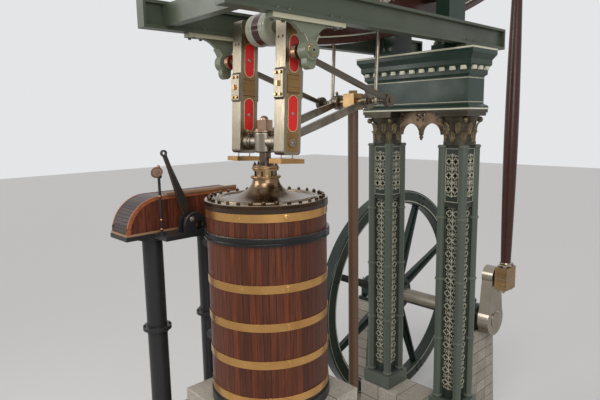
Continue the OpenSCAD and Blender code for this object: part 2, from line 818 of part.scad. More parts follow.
bucket_h = 300;
bucket_z = raft_h + 250;
pump_wall = 70;
module pump_barrel() {
    flange_w = pump_barrel_r + 85;
    floor_t = 90;
    cover_t = 60;
    neck = [pump_rod_r + 90, 160];
    bore = pump_barrel_r - pump_wall;
    bore_top_z = bucket_z + bucket_h + half_stroke + 150;
    top_z = bore_top_z + cover_t;
    color(black_iron) translate([cross_pin[0], 0, 0]) rotate_extrude() polygon([
        [0, raft_h], [flange_w, raft_h], [flange_w, raft_h + cover_t], [pump_barrel_r, raft_h + cover_t],
        [pump_barrel_r, bore_top_z - cover_t], [flange_w, bore_top_z - cover_t], [flange_w, top_z],
        [neck[0] + 30, top_z], [neck[0], top_z + neck[1]], [pump_rod_r + run, top_z + neck[1]],
        [pump_rod_r + run, bore_top_z], [bore, bore_top_z], [bore, raft_h + floor_t],
        [0, raft_h + floor_t]
    ]);
}

pump_block = 130;
module pump_rod() {
    bucket_r = pump_barrel_r - pump_wall - 5;
    color(beam_brown) translate([cross_pin[0], 0, bucket_z]) union() {
        cylinder(r = pump_rod_r, h = cross_pin[1] - pump_block - bucket_z);
        cylinder(r = bucket_r, h = bucket_h);
    }
}

module pump_crosshead() {
    neck = 60;
    half = pump_block - 15;
    color(bronze) translate([cross_pin[0], 0, cross_pin[1]]) union() {
        block([-half, -half, -pump_block], [half, half, pump_block]);
        pin_y([0, 0], neck, -gudgeon_half, gudgeon_half);
        translate([0, 0, pump_block]) cylinder(r = 70, h = 50, $fn = 6);
    }
}

// Piston, rod and crosshead

module piston() {
    ring_gap = 3;
    color(steel) translate([0, 0, piston_top_z - piston_t]) difference() {
        cylinder(r = bore_d / 2 - ring_gap, h = piston_t);
        translate([0, 0, -over]) cylinder(r = rod_r + fit, h = piston_t + 2 * over);
    }
}

module piston_rod() {
    low_z = piston_top_z - piston_t - 20;
    color(steel) union() {
        translate([0, 0, low_z]) cylinder(r = rod_r, h = low_pin[1] - boss_r - low_z);
        translate([0, 0, piston_top_z]) cylinder(r = rod_r + 30, h = 40);
    }
}

module crosshead() {
    edge = 26;
    dome_r = 60;
    dome_h = 60;
    collar_w = 30;
    nut_z = boss_r + cap_nut_h;
    color(steel) at_pin(low_pin) union() {
        rotate_extrude() polygon(concat(
            [[0, -boss_r]],
            arc([boss_r - edge, edge - boss_r], edge, 270, 360, 6),
            arc([boss_r - edge, boss_r - edge], edge, 0, 90, 6),
            [[0, boss_r]]));
        pin_y([0, 0], gudgeon_r, -gudgeon_half, gudgeon_half);
        both_sides() pin_y([0, 0], gudgeon_r + 16, gudgeon_half - collar_w, gudgeon_half);
        translate([0, 0, boss_r]) cylinder(r = cap_nut_w / sqrt(3), h = cap_nut_h, $fn = 6);
        translate([0, 0, nut_z]) rotate_extrude() polygon(concat(
            [[0, 0], [dome_r, 0]], arc([0, 0], dome_r, 0, 90, 8)));
    }
}

// Beam

// Upper outline of the beam, from its crank end to its cylinder end
function beam_top(inset) = [for (i = [-16:16]) let(x = -half_beam * i / 16)
    [x, beam_tip + (beam_mid - beam_tip) * (1 - pow(x / half_beam, 2)) - inset]];
module beam_outline(inset) {
    tip = beam_tip - inset;
    polygon(concat(
        beam_top(inset),
        arc([-half_beam, 0], tip, 97.5, 262.5, 11),
        [for (p = beam_top(inset)) [-p[0], -p[1]]],
        arc([half_beam, 0], tip, -82.5, 82.5, 11)));
}

module beam() {
    centre_boss = [trunnion_r + 190, pedestal_in - 90];
    back_boss = [back_pin_r + 110, link_in - 110];
    rib_half = 45;
    rib_w = beam_edge_w / 2 - 40;
    half_web = beam_web / 2;
    color(beam_brown) at_pin(trunnion, -swing) difference() {
        union() {
            across(-half_web, half_web) beam_outline(0);
            across(-beam_edge_w / 2, beam_edge_w / 2) difference() {
                beam_outline(0);
                beam_outline(beam_edge_h);
            }
            for (x = [-half_beam, half_beam]) pin_y([x, 0], beam_tip, -end_boss_w / 2, end_boss_w / 2);
            pin_y([0, 0], centre_boss[0], -centre_boss[1], centre_boss[1]);
            pin_y([-half_beam / 2, 0], back_boss[0], -back_boss[1], back_boss[1]);
            across(-rib_w, rib_w) translate([-half_beam, -rib_half]) square([2 * half_beam, 2 * rib_half]);
        }
        for (x = [-half_beam, half_beam])
            pin_y([x, 0], end_pin_r + fit, -end_boss_w / 2 - over, end_boss_w / 2 + over);
        pin_y([0, 0], trunnion_r + fit, -centre_boss[1] - over, centre_boss[1] + over);
        pin_y([-half_beam / 2, 0], back_pin_r + fit, -back_boss[1] - over, back_boss[1] + over);
    }
}

module beam_pins() {
    proud = 6;
    trunnion_half = pedestal_in + pedestal_w + 20;
    back_half = back_mid + back_head_w / 2 + proud;
    color(steel) at_pin(trunnion, -swing) {
        pin_y([-half_beam, 0], end_pin_r, -link_out - proud, link_out + proud);
        pin_y([half_beam, 0], end_pin_r, -fork_out - proud, fork_out + proud);
        pin_y([0, 0], trunnion_r, -trunnion_half, trunnion_half);
        pin_y([-half_beam / 2, 0], back_pin_r, -back_half, back_half);
    }
}

// Main links, drawn downwards from the beam's end pin

link_end = brass_h / 2 + strap_t;
link_inner = link_d / 2 - strap_t;
filler_h = (link_len - brass_h - block_h) / 2;
block_top = -brass_h / 2 - filler_h;
module link_outline(inset) {
    d = link_d / 2 - inset;
    e = link_end - inset;
    corner = strap_t + 8 - inset;
    polygon(concat(
        arc([d - corner, e - corner], corner, 0, 90, 6),
        arc([corner - d, e - corner], corner, 90, 180, 6),
        arc([corner - d, corner - link_len - e], corner, 180, 270, 6),
        arc([d - corner, corner - link_len - e], corner, 270, 360, 6)));
}

module link_straps() {
    pad_mid = block_top - block_h / 2;
    slope = 30;
    tray_rod_r = 8;
    color(steel) at_pin(beam_end, link_tilt) both_sides() union() {
        across(link_in, link_out) difference() {
            link_outline(0);
            link_outline(strap_t);
        }
        across(link_in + 12, link_out - 12) for (s = [-1, 1]) polygon([
            [s * (link_d / 2 - over), pad_mid - pad_h / 2], [s * (link_d / 2), pad_mid - pad_h / 2],
            [s * (link_d / 2 + pad_t), pad_mid - pad_h / 2 + slope],
            [s * (link_d / 2 + pad_t), pad_mid + pad_h / 2 - slope],
            [s * (link_d / 2), pad_mid + pad_h / 2], [s * (link_d / 2 - over), pad_mid + pad_h / 2]
        ]);
        for (x = [-link_d / 3, link_d / 3]) translate([x, link_mid, -link_len - link_end - tray_gap])
            cylinder(r = tray_rod_r, h = tray_gap + over);
    }
}

// Racetrack outline of the red panel in a filler
module panel_outline() {
    r = link_inner - 20;
    half = filler_h / 2 - 22 - r;
    union() {
        for (z = [-half, half]) translate([0, z]) circle(r = r);
        translate([-r, -half]) square([2 * r, 2 * half]);
    }
}
filler_mids = [-(brass_h + filler_h) / 2, -link_len + (brass_h + filler_h) / 2];
panel_depth = 14;

module link_fillers() {
    color(bronze) at_pin(beam_end, link_tilt) both_sides() for (z = filler_mids) difference() {
        across(link_in, link_out) translate([-link_inner, z - filler_h / 2])
            square([2 * link_inner, filler_h]);
        across(link_in - over, link_in + panel_depth) translate([0, z]) panel_outline();
        across(link_out - panel_depth, link_out + over) translate([0, z]) panel_outline();
    }
}

module link_panels() {
    sunk = 6;
    color(panel_red) at_pin(beam_end, link_tilt) both_sides() for (z = filler_mids) {
        across(link_in + sunk, link_in + panel_depth) translate([0, z]) panel_outline();
        across(link_out - panel_depth, link_out - sunk) translate([0, z]) panel_outline();
    }
}

module link_brasses() {
    proud = 12;
    color(bronze) at_pin(beam_end, link_tilt) both_sides() {
        difference() {
            across(link_in, link_out) intersection() {
                link_outline(strap_t);
                translate([-link_inner, -brass_h / 2]) square([2 * link_inner, brass_h]);
            }
            pin_y([0, 0], end_pin_r + run, link_in - over, link_out + over);
        }
        across(link_in, link_out + proud) translate([-link_inner, block_top - block_h])
            square([2 * link_inner, block_h]);
        union() {
            across(link_in, link_out) intersection() {
                link_outline(strap_t);
                translate([-link_inner, -link_len - brass_h / 2]) square([2 * link_inner, brass_h]);
            }
            pin_y([0, -link_len], low_pin_r, bar_in, link_out + proud);
        }
    }
}

module drip_trays() {
    half_w = link_w / 2 + 20;
    half_d = link_d / 2 + 60;
    tray_h = 60;
    sheet = 6;
    top = -link_len - link_end - tray_gap;
    color(brass) at_pin(beam_end, link_tilt) both_sides() translate([0, link_mid, top]) union() {
        difference() {
            block([-half_d, -half_w, -tray_h], [half_d, half_w, 0]);
            block([sheet - half_d, sheet - half_w, sheet - tray_h], [half_d - sheet, half_w - sheet, over]);
        }
        for (x = [-link_d / 3, link_d / 3]) block([x - 14, -half_w + sheet - over, -14],
            [x + 14, half_w - sheet + over, 0]);
    }
}

// Parallel bars, back links and radius rods

rod_span = half_beam / 2;
// Outline of a bar that swells towards its middle
module swelled_bar(end_d, mid_d) {
    top = [for (i = [0:12]) [rod_span * i / 12, end_d / 2 + (mid_d - end_d) / 2 * sin(15 * i)]];
    polygon(concat(top, [for (i = [12:-1:0]) [top[i][0], -top[i][1]]]));
}

module parallel_bars() {
    eye_out = bar_in + bar_eye_w;
    cup_r = 22;
    color(steel) both_sides() at_pin(low_pin, -swing) difference() {
        union() {
            for (x = [0, rod_span]) {
                pin_y([x, 0], bar_eye_r, bar_in, eye_out);
                translate([x, bar_mid, bar_eye_r - 6]) cylinder(r = cup_r, h = 46);
            }
            across(bar_mid - bar_t / 2, bar_mid + bar_t / 2) swelled_bar(bar_d - 40, bar_d);
            pin_y([rod_span, 0], cross_pin_r, bar_in, back_mid + back_head_w / 2);
        }
        pin_y([0, 0], low_pin_r + run, bar_in - over, eye_out + over);
    }
}

module back_links() {
    head_up = 130;
    head_low = 310;
    bell_h = 120;
    ball_r = 70;
    head_d = back_head_w / 2;
    y0 = back_mid - back_head_w / 2;
    y1 = back_mid + back_head_w / 2;
    color(steel) at_pin(back_pin, link_tilt) both_sides() difference() {
        union() {
            across(y0, y1) polygon(concat(
                [[head_d, -head_low]], arc([0, head_up - head_d], head_d, 0, 180, 12),
                [[-head_d, -head_low]]));
            translate([0, back_mid, -head_low - bell_h])
                cylinder(r1 = back_rod_r + 6, r2 = head_d - 4, h = bell_h);
            translate([0, back_mid, -link_len]) cylinder(r = back_rod_r, h = link_len - head_low);
            translate([0, back_mid, -link_len]) sphere(r = ball_r);
        }
        pin_y([0, 0], back_pin_r + run, y0 - over, y1 + over);
        pin_y([0, -link_len], cross_pin_r + run, y0, y1 + over);
    }
}

module radius_rods() {
    stub_in = back_mid + back_head_w / 2 + side_gap;
    web_in = 12;
    color(dark_steel) both_sides() at_pin(fixed_pin, swing) difference() {
        union() {
            for (x = [0, rod_span]) pin_y([x, 0], radius_eye_r, radius_in, radius_in + radius_w);
            across(radius_in + web_in, radius_in + radius_w - web_in)
                swelled_bar(radius_rod_d - 20, radius_rod_d);
            pin_y([rod_span, 0], cross_pin_r, stub_in, radius_in + radius_w + 15);
        }
        pin_y([0, 0], fixed_pin_r + run, radius_in - over, radius_in + radius_w + over);
    }
}

// Connecting rod, crank and flywheel

fork_in = end_boss_w / 2 + 15;
fork_out = fork_in + 115;
big_end_h = [260, 300];
module connecting_rod() {
    eye = end_pin_r + 120;
    fork_half = 130;
    crown_z = -620;
    crown_t = 130;
    rod_end_r = 115;
    swell = 45;
    low = -conrod_len + big_end_h[1];
    high = crown_z - crown_t;
    body = [for (i = [0:12]) [rod_end_r + swell * sin(15 * i), low + (high - low) * i / 12]];
    color(beam_brown) at_pin(crank_end) union() {
        both_sides() difference() {
            across(fork_in, fork_out) union() {
                circle(r = eye);
                translate([-fork_half, crown_z]) square([2 * fork_half, -crown_z]);
            }
            pin_y([0, 0], end_pin_r + run, fork_in - over, fork_out + over);
        }
        block([-fork_half, -fork_out, high], [fork_half, fork_out, crown_z]);
        rotate_extrude() polygon(concat([[0, low]], body, [[0, high]]));
    }
}

module conrod_brasses() {
    end_half = crank_pin_r + 130;
    strap = 50;
    color(bronze) at_pin(crank_pin) union() {
        block([-end_half, -big_end_half, -big_end_h[0]], [end_half, big_end_half, big_end_h[1]]);
        for (z = [-150, 130]) block([-end_half - strap / 2, strap / 2 - big_end_half, z],
            [end_half + strap / 2, big_end_half - strap / 2, z + strap]);
    }
}

module crank() {
    hub_wall = 200;
    tip_wall = 140;
    hub = shaft_r + hub_wall;
    tip = crank_pin_r + tip_wall;
    taper = 30;
    color(steel) difference() {
        union() {
            across(crank_in, crank_in + crank_t) union() {
                translate(crank_centre) circle(r = hub);
                translate(crank_pin) circle(r = tip);
                polygon([
                    crank_centre - [hub - taper, 0], crank_centre + [hub - taper, 0],
                    crank_pin + [tip - taper, 0], crank_pin - [tip - taper, 0]
                ]);
            }
            pin_y(crank_pin, crank_pin_r, big_end_half + open_gap, crank_in + over);
        }
        pin_y(crank_centre, shaft_r + fit, crank_in - over, crank_in + crank_t + over);
    }
}

module crankshaft() {
    color(steel) pin_y(crank_centre, shaft_r, crank_in - 10, far_bearing_y + bearing_w + 30);
}

module flywheel_rim() {
    bevel = 40;
    inner = wheel_r - rim_t;
    half = rim_w / 2;
    color(black_iron) translate([crank_centre[0], wheel_y, crank_centre[1]]) rotate([-90, 0, 0])
        rotate_extrude($fn = 96) polygon([
            [inner, bevel - half], [inner + bevel, -half], [wheel_r - bevel / 2, -half],
            [wheel_r, bevel / 2 - half], [wheel_r, half - bevel / 2], [wheel_r - bevel / 2, half],
            [inner + bevel, half], [inner, half - bevel]
        ]);
}

module flywheel_arms() {
    root_half = 125;
    tip_half = 85;
    arm_t = 120;
    rib_t = 50;
    rib_root = 190;
    rib_tip = 110;
    end_r = sqrt(pow(wheel_r - rim_t - fit, 2) - pow(tip_half, 2));
    start_r = hub_r - 60;
    color(black_iron) translate([0, wheel_y, 0]) at_pin(crank_centre) difference() {
        union() {
            pin_y([0, 0], hub_r, -hub_w / 2, hub_w / 2);
            for (i = [0:arm_count - 1]) rotate([0, (i + 0.5) * 360 / arm_count, 0]) {
                across(-arm_t / 2, arm_t / 2) polygon([
                    [start_r, -root_half], [end_r, -tip_half], [end_r, tip_half], [start_r, root_half]
                ]);
                translate([0, 0, -rib_t / 2]) linear_extrude(rib_t) polygon([
                    [start_r, -rib_root], [end_r, -rib_tip], [end_r, rib_tip], [start_r, rib_root]
                ]);
            }
        }
        pin_y([0, 0], shaft_r + fit, -hub_w / 2 - over, hub_w / 2 + over);
    }
}

module crank_bearings() {
    foot_half = 450;
    foot_h = 90;
    body_half = shaft_r + 120;
    cap_r = shaft_r + 110;
    joint_h = 50;
    bolt_r = 34;
    bolt_top = cap_r - 60;
    color(green_paint) for (y = [near_bearing_y, far_bearing_y]) difference() {
        union() {
            across(y, y + bearing_w) union() {
                translate([crank_centre[0] - foot_half, crank_pier_z]) square([2 * foot_half, foot_h]);
                translate([crank_centre[0] - body_half, crank_pier_z]) square([2 * body_half, bearing_h]);
                translate(crank_centre) circle(r = cap_r);
                translate(crank_centre - [body_half + 40, 0]) square([2 * body_half + 80, joint_h]);
            }
            for (x = [-1, 1], k = [0.2, 0.8])
                translate([crank_centre[0] + x * (body_half - 10), y + k * bearing_w, crank_centre[1]])
                    cylinder(r = bolt_r, h = bolt_top);
        }
        pin_y(crank_centre, shaft_r + run, y - over, y + bearing_w + over);
    }
}

foundation_raft();
foundation_piers();
cylinder_bottom();
cylinder_barrel();
wood_lagging();
lagging_bands();
floor_ring();
cylinder_cover();
cover_nuts();
stuffing_box();
valve_chest();
steam_casing();
starting_lever();
valve_pillar();
hand_wheel();
columns();
capitals();
spandrel_arch();
entablature();
trunnion_pedestals();
trunnion_caps();
spring_beams();
radius_brackets();
pump_barrel();
crank_bearings();
piston();
piston_rod();
crosshead();
beam();
beam_pins();
link_straps();
link_fillers();
link_panels();
link_brasses();
drip_trays();
parallel_bars();
back_links();
radius_rods();
pump_rod();
pump_crosshead();
connecting_rod();
conrod_brasses();
crank();
crankshaft();
flywheel_rim();
flywheel_arms();
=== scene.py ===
import json
import math
import random
from itertools import product

import bmesh
import bpy
from mathutils import Matrix, Vector


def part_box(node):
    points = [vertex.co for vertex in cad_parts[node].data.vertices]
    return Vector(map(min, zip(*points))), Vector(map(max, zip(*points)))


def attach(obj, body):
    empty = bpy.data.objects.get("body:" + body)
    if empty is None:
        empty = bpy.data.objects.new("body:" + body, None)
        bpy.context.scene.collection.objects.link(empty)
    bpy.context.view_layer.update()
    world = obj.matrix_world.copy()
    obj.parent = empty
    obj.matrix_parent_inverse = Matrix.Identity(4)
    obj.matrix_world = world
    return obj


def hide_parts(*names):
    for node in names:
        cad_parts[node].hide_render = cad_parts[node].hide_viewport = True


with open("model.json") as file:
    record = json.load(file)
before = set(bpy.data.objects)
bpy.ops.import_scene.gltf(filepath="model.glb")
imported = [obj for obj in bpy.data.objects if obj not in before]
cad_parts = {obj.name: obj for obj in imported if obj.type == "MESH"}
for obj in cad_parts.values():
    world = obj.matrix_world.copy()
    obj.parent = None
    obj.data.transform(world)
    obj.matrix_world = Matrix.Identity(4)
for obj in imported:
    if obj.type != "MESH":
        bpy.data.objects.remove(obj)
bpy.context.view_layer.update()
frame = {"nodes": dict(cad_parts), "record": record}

# The foundation: a raft of large dressed stones, with piers on it under the cylinder, the columns,
# the steam chest and the two crank bearings. The stones are bedded in lime mortar, and each course
# breaks joint with the one below.


class Nodes:
    """Short calls for the nodes of one tree. Each gives back an output, or all of them."""

    def __init__(self, tree):
        self.tree = tree

    def add(self, kind, inputs, **settings):
        made = self.tree.nodes.new("ShaderNode" + kind)
        for key, value in settings.items():
            setattr(made, key, value)
        for key, value in inputs.items():
            if isinstance(value, bpy.types.NodeSocket):
                self.tree.links.new(value, made.inputs[key])
            else:
                made.inputs[key].default_value = value
        return made.outputs

    def maths(self, operation, first, second=0.0):
        return self.add("Math", {0: first, 1: second}, operation=operation)[0]

    def spread(self, value, low, high, to_low=0.0, to_high=1.0):
        return self.add("MapRange", {0: value, 1: low, 2: high, 3: to_low, 4: to_high})[0]


class Surface(Nodes):
    def __init__(self, name, colour=None, **sockets):
        self.material = bpy.data.materials.new(name)
        self.material.use_nodes = True
        super().__init__(self.material.node_tree)
        self.shader = self.tree.nodes["Principled BSDF"].inputs
        for key, value in sockets.items():
            self.shader[key.replace("_", " ")].default_value = value
        self.body = colour
        self.place = self.add("TexCoord", {})["Object"]

    def split(self, vector):
        return self.add("SeparateXYZ", {0: vector})

    def noise(self, scale, detail=4.0, stretch=(1, 1, 1), place=None):
        spot = self.add("Mapping", {"Vector": place or self.place, "Scale": stretch})[0]
        return self.add("TexNoise", {"Vector": spot, "Scale": scale, "Detail": detail})[0]

    def lay(self, amount, colour):
        first, second = ((*c, 1) if isinstance(c, tuple) else c for c in (self.body, colour))
        self.body = self.add("Mix", {0: amount, 6: first, 7: second}, data_type="RGBA")[2]

    def squared_reach(self, axes, middle):
        """The squared distance from a line through middle, measured along two axes."""
        split = self.split(self.place)
        steps = [self.maths("SUBTRACT", split[a], m) for a, m in zip(axes, middle)]
        return self.maths("ADD", *(self.maths("MULTIPLY", s, s) for s in steps))

    def finish(self, roughness, height, strength, distance, edge=0.0):
        """Joins body, roughness and a bump of some height, over edges that are rounded off."""
        self.tree.links.new(self.body, self.shader["Base Color"])
        if roughness:
            self.tree.links.new(roughness, self.shader["Roughness"])
        bump = {"Height": height, "Strength": strength, "Distance": distance}
        if edge:
            bump["Normal"] = self.add("Bevel", {"Radius": edge}, samples=4)["Normal"]
        self.tree.links.new(self.add("Bump", bump)[0], self.shader["Normal"])
        return self.material


def darker(colour, share):
    return tuple(c * share for c in colour)


def dressed_stone(name, pale, dark):
    """Stone with a fine grain and a few stains. The tint of a stone makes it darker."""
    face = Surface(name, pale, Roughness=0.85)
    grain = face.noise(26, 9)
    face.lay(face.add("Attribute", {}, attribute_name="tint")["Fac"], dark)
    face.lay(face.spread(grain, 0.3, 0.75), darker(dark, 0.72))
    face.lay(face.spread(face.noise(1.6, 5), 0.35, 0.7, 0, 0.35), darker(dark, 0.5))
    return face.finish(None, grain, 0.5, 0.006)


def add_object(name, data):
    made = bpy.data.objects.new(name, data)
    bpy.context.scene.collection.objects.link(made)
    return made


def add_mesh(name, mesh, material):
    data = bpy.data.meshes.new(name)
    mesh.to_mesh(data)
    mesh.free()
    data.materials.append(material)
    return add_object(name, data)


def finish_piece(name, mesh, body, material, smooth=0, instead_of=()):
    bmesh.ops.remove_doubles(mesh, verts=mesh.verts, dist=1e-5)
    bmesh.ops.recalc_face_normals(mesh, faces=mesh.faces)
    made = add_mesh(name, mesh, material)
    if smooth:
        made.data.shade_smooth()
        made.data.set_sharp_from_angle(angle=math.radians(smooth))
    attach(made, body)
    if instead_of:
        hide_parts(*instead_of)


def moved(*offset):
    return Matrix.Translation(offset[0] if len(offset) == 1 else offset)


def chamfer_edges(mesh, edges, offset, segments=1):
    bmesh.ops.bevel(mesh, geom=edges, offset=offset, segments=segments, profile=0.5, affect="EDGES",
                    material=-1)


def add_block(mesh, low, high, soft=0.0, segments=1, place=Matrix()):
    size = Vector(high) - Vector(low)
    matrix = place @ moved((Vector(low) + Vector(high)) / 2) @ Matrix.Diagonal((*size, 1))
    verts = bmesh.ops.create_cube(mesh, size=1, matrix=matrix)["verts"]
    if soft:
        chamfer_edges(mesh, list({e for v in verts for e in v.link_edges}), soft, segments)


def set_tints(mesh, first_face, value):
    layer = mesh.faces.layers.float.get("tint") or mesh.faces.layers.float.new("tint")
    mesh.faces.ensure_lookup_table()
    for face in mesh.faces[first_face:]:
        face[layer] = value


def lay_stones(mesh, low, high):
    """Courses of stones that fill a box, turned at every other course; hidden ones are left out."""
    courses = max(1, round((high.z - low.z) / course_h))
    step = (high.z - low.z) / courses
    for course in range(courses):
        lengths = (stone_l, stone_w) if course % 2 == 0 else (stone_w, stone_l)
        counts = [max(1, round((high[a] - low[a]) / lengths[a])) for a in (0, 1)]
        size = Vector(((high.x - low.x) / counts[0], (high.y - low.y) / counts[1], step))
        for i, k in product(range(counts[0]), range(counts[1])):
            inside = 0 < i < counts[0] - 1 and 0 < k < counts[1] - 1
            if inside and 0 < course < courses - 1:
                continue
            corner = low + Vector((i * size.x, k * size.y, course * step))
            first = len(mesh.faces)
            add_block(mesh, corner + bed / 2, corner + size - bed / 2, arris)
            set_tints(mesh, first, draw.random())


def taper(mesh, first, middle_x, low_z, high_z, top_share):
    mesh.verts.ensure_lookup_table()
    for vert in mesh.verts[first:]:
        share = 1 - (vert.co.z - low_z) / (high_z - low_z) * (1 - top_share)
        vert.co.x = middle_x + (vert.co.x - middle_x) * share


def pier_box(low, high, margin, top):
    """The box of a pier from the raft up to a level, wider by a margin than the piece on it."""
    return (Vector((low.x - margin, low.y - margin, raft_high.z)),
            Vector((high.x + margin, high.y + margin, top)))


stone = dressed_stone("dressed_stone", (0.50, 0.45, 0.38), (0.34, 0.30, 0.25))
lime = dressed_stone("lime_mortar", (0.20, 0.18, 0.15), (0.15, 0.135, 0.11))
course_h = 0.30
stone_l = 0.62
stone_w = 0.46
bed = Vector((0.014, 0.014, 0.014))
arris = 0.012
raft_margin = 0.15
crank_foot_w = 1.6
crank_top_w = 1.1
bearing_w = 0.4
crank_margin = Vector((0, 0.10, 0))
draw = random.Random(11)
pins = {j["name"]: Vector(j["pos_m"]) for j in frame["record"]["behaviour"]["joints"] if "pos_m" in j}
crank_centre = pins["flywheel_turn"]
raft_low, raft_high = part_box("foundation_raft")
bearings_low, bearings_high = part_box("crank_bearings")
bearing_y = (bearings_low.y, bearings_high.y - bearing_w)
casing_low, casing_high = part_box("steam_casing")
chest_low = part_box("valve_chest")[0]
bottom_low, bottom_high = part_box("cylinder_bottom")
columns_low, columns_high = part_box("columns")
wing_y = casing_high.y + raft_margin
crank_x = (crank_centre.x - crank_foot_w / 2, crank_centre.x + crank_foot_w / 2)
boxes = [(raft_low, Vector((raft_high.x, wing_y, raft_high.z))),
         (Vector((crank_x[0] - raft_margin, wing_y, raft_low.z)), raft_high),
         pier_box(bottom_low, bottom_high, 0.05, bottom_low.z),
         pier_box(columns_low, columns_high, 0.06, columns_low.z),
         pier_box(casing_low, casing_high, 0, chest_low.z)]
crank_boxes = [(Vector((crank_x[0], y, raft_high.z)) - crank_margin,
                Vector((crank_x[1], y + bearing_w, bearings_low.z)) + crank_margin) for y in bearing_y]
stones = bmesh.new()
mortar = bmesh.new()
for low, high in boxes + crank_boxes:
    starts = len(stones.verts), len(mortar.verts)
    lay_stones(stones, low, high)
    add_block(mortar, low + bed, high - bed)
    if (low, high) in crank_boxes:
        for mesh, first in zip((stones, mortar), starts):
            taper(mesh, first, crank_centre.x, low.z, high.z, crank_top_w / crank_foot_w)
finish_piece("foundation_stones", stones, "root", stone,
             instead_of=("foundation_raft", "foundation_piers"))
finish_piece("foundation_mortar", mortar, "root", lime)

# The cylinder's bottom plate, the steam chest and its pipes, rough castings in black paint.
# The pipes are jointed by round flanges, each drawn up with eight bolts.


def cast_paint(name, colour, roughness, peel=0.35, edge=0.004, dust=0.10, trim=None):
    """Paint on a casting: a faint orange peel, dull patches, and dust on what faces up.
    trim(paint) may lay lines of another colour over the body."""
    paint = Surface(name, colour, Coat_Weight=0.06, Coat_Roughness=0.2, Specular_IOR_Level=0.28)
    patch = paint.spread(paint.noise(1.7, 6), 0.35, 0.7)
    paint.lay(paint.maths("MULTIPLY", patch, 0.55), darker(colour, 0.72))
    if trim:
        trim(paint)
    upward = paint.split(paint.add("NewGeometry", {})["Normal"])["Z"]
    paint.lay(paint.spread(upward, 0.6, 1.0, 0, dust), tuple(0.10 + c * 0.8 for c in colour))
    rough = paint.spread(patch, 0, 1, roughness - 0.05, roughness + 0.12)
    return paint.finish(rough, paint.noise(34, 5), peel, 0.0012, edge)


def paint_nodes(material, *names):
    for name in names:
        data = frame["nodes"][name].data
        data.materials.clear()
        data.materials.append(material)
        for polygon in data.polygons:
            polygon.material_index = 0


def turned(degrees, axis="Z"):
    return Matrix.Rotation(math.radians(degrees), 4, axis)


def turn_profile(mesh, profile, place=Matrix(), steps=24, closed=False):
    """A turned shape: (radius, height) points spun once round the local Z of place."""
    verts = [mesh.verts.new(place @ Vector((r, 0, z))) for r, z in profile]
    pairs = list(zip(verts, verts[1:])) + ([(verts[-1], verts[0])] if closed else [])
    edges = [mesh.edges.new(pair) for pair in pairs]
    bmesh.ops.spin(mesh, geom=verts + edges, axis=place.to_3x3() @ Vector((0, 0, 1)),
                   cent=place.translation, angle=2 * math.pi, steps=steps, use_merge=True)


def mirrored(*upper):
    """A profile that is the same below its middle as above it."""
    return [(r, -z) for r, z in reversed(upper)] + list(upper)


def add_nut(mesh, place, across_flats, height, stud_r=0.0, stud_h=0.0):
    """A chamfered hexagon nut on the local Z of place, with the end of its stud standing out."""
    radius = across_flats / math.sqrt(3)
    verts = bmesh.ops.create_cone(mesh, cap_ends=True, segments=6, radius1=radius, radius2=radius,
                                  depth=height, matrix=place @ moved(0, 0, height / 2))["verts"]
    back = place.inverted()
    top = {v for v in verts if (back @ v.co).z > height / 2}
    rim = [e for e in {e for v in top for e in v.link_edges} if top.issuperset(e.verts)]
    chamfer_edges(mesh, rim, height * 0.16)
    if stud_r:
        bmesh.ops.create_cone(mesh, cap_ends=True, segments=10, radius1=stud_r, radius2=stud_r * 0.8,
                              depth=stud_h, matrix=place @ moved(0, 0, height + stud_h / 2))


def add_flange(mesh, place, pipe_r):
    """A pair of pipe flanges with a groove between them and eight bolts, half on either side."""
    reach = 0.065
    thick = 0.028
    outer = pipe_r + reach
    turn_profile(mesh, mirrored((outer - 0.004, 0), (outer, 0.003), (outer, thick - 0.004),
                                (outer - 0.004, thick), (pipe_r - 0.004, thick)), place, steps=40)
    for i in range(8):
        at = place @ turned(45 * (i + 0.5)) @ moved(pipe_r + reach * 0.55, 0, 0)
        add_nut(mesh, at @ moved(0, 0, thick), reach * 0.5, 0.018, 0.009, 0.012)
        add_nut(mesh, at @ turned(180, "X") @ moved(0, 0, thick), reach * 0.5, 0.018)


black_paint = cast_paint("black_iron_paint", (0.020, 0.020, 0.021), 0.34)
paint_nodes(black_paint, "cylinder_bottom", "valve_chest")
steam_pipe_r = 0.150
inlet_r = 0.130
pipe_y = (casing_low.y + casing_high.y) / 2
pipe_x = (casing_low.x + 0.50, casing_high.x - 0.45)
lid_z = chest_low.z + 0.62
lagging_low, lagging_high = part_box("wood_lagging")
floor_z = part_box("floor_ring")[0].z
band_h = 0.11
low_bands = 4
band_pitch = (floor_z - lagging_low.z - band_h) / low_bands
flanges = bmesh.new()
for x, z in product(pipe_x, (lid_z + 0.03, (lid_z + floor_z) / 2, floor_z - 0.10)):
    add_flange(flanges, moved(x, pipe_y, z), steam_pipe_r)
for step in (0.5, low_bands - 0.5):
    z = lagging_low.z + step * band_pitch + band_h / 2
    add_flange(flanges, moved(pipe_x[1], lagging_high.y + 0.15, z) @ turned(90, "X"), inlet_r)
chest_x = (casing_low.x + 0.10, casing_high.x - 0.10)
chest_y = (casing_low.y + 0.03, casing_high.y - 0.03)
lid_in = 0.06
lid_pitch = (chest_x[1] - chest_x[0] - 2 * lid_in) / 12
for i, y in product(range(13), (chest_y[0] + 0.045, chest_y[1] - 0.045)):
    add_nut(flanges, moved(chest_x[0] + lid_in + i * lid_pitch, y, lid_z), 0.040, 0.022, 0.010, 0.016)
rib_w = 0.042
rib_out = 0.014
for x in (chest_x[0] - 0.012, chest_x[0] + 0.60, chest_x[0] + 1.20, chest_x[1] - 0.03):
    add_block(flanges, (x, chest_y[0] - rib_out, chest_low.z + 0.03),
              (x + rib_w, chest_y[1] + rib_out, lid_z - 0.05), 0.006)
finish_piece("steam_pipe_flanges", flanges, "root", black_paint, smooth=35)

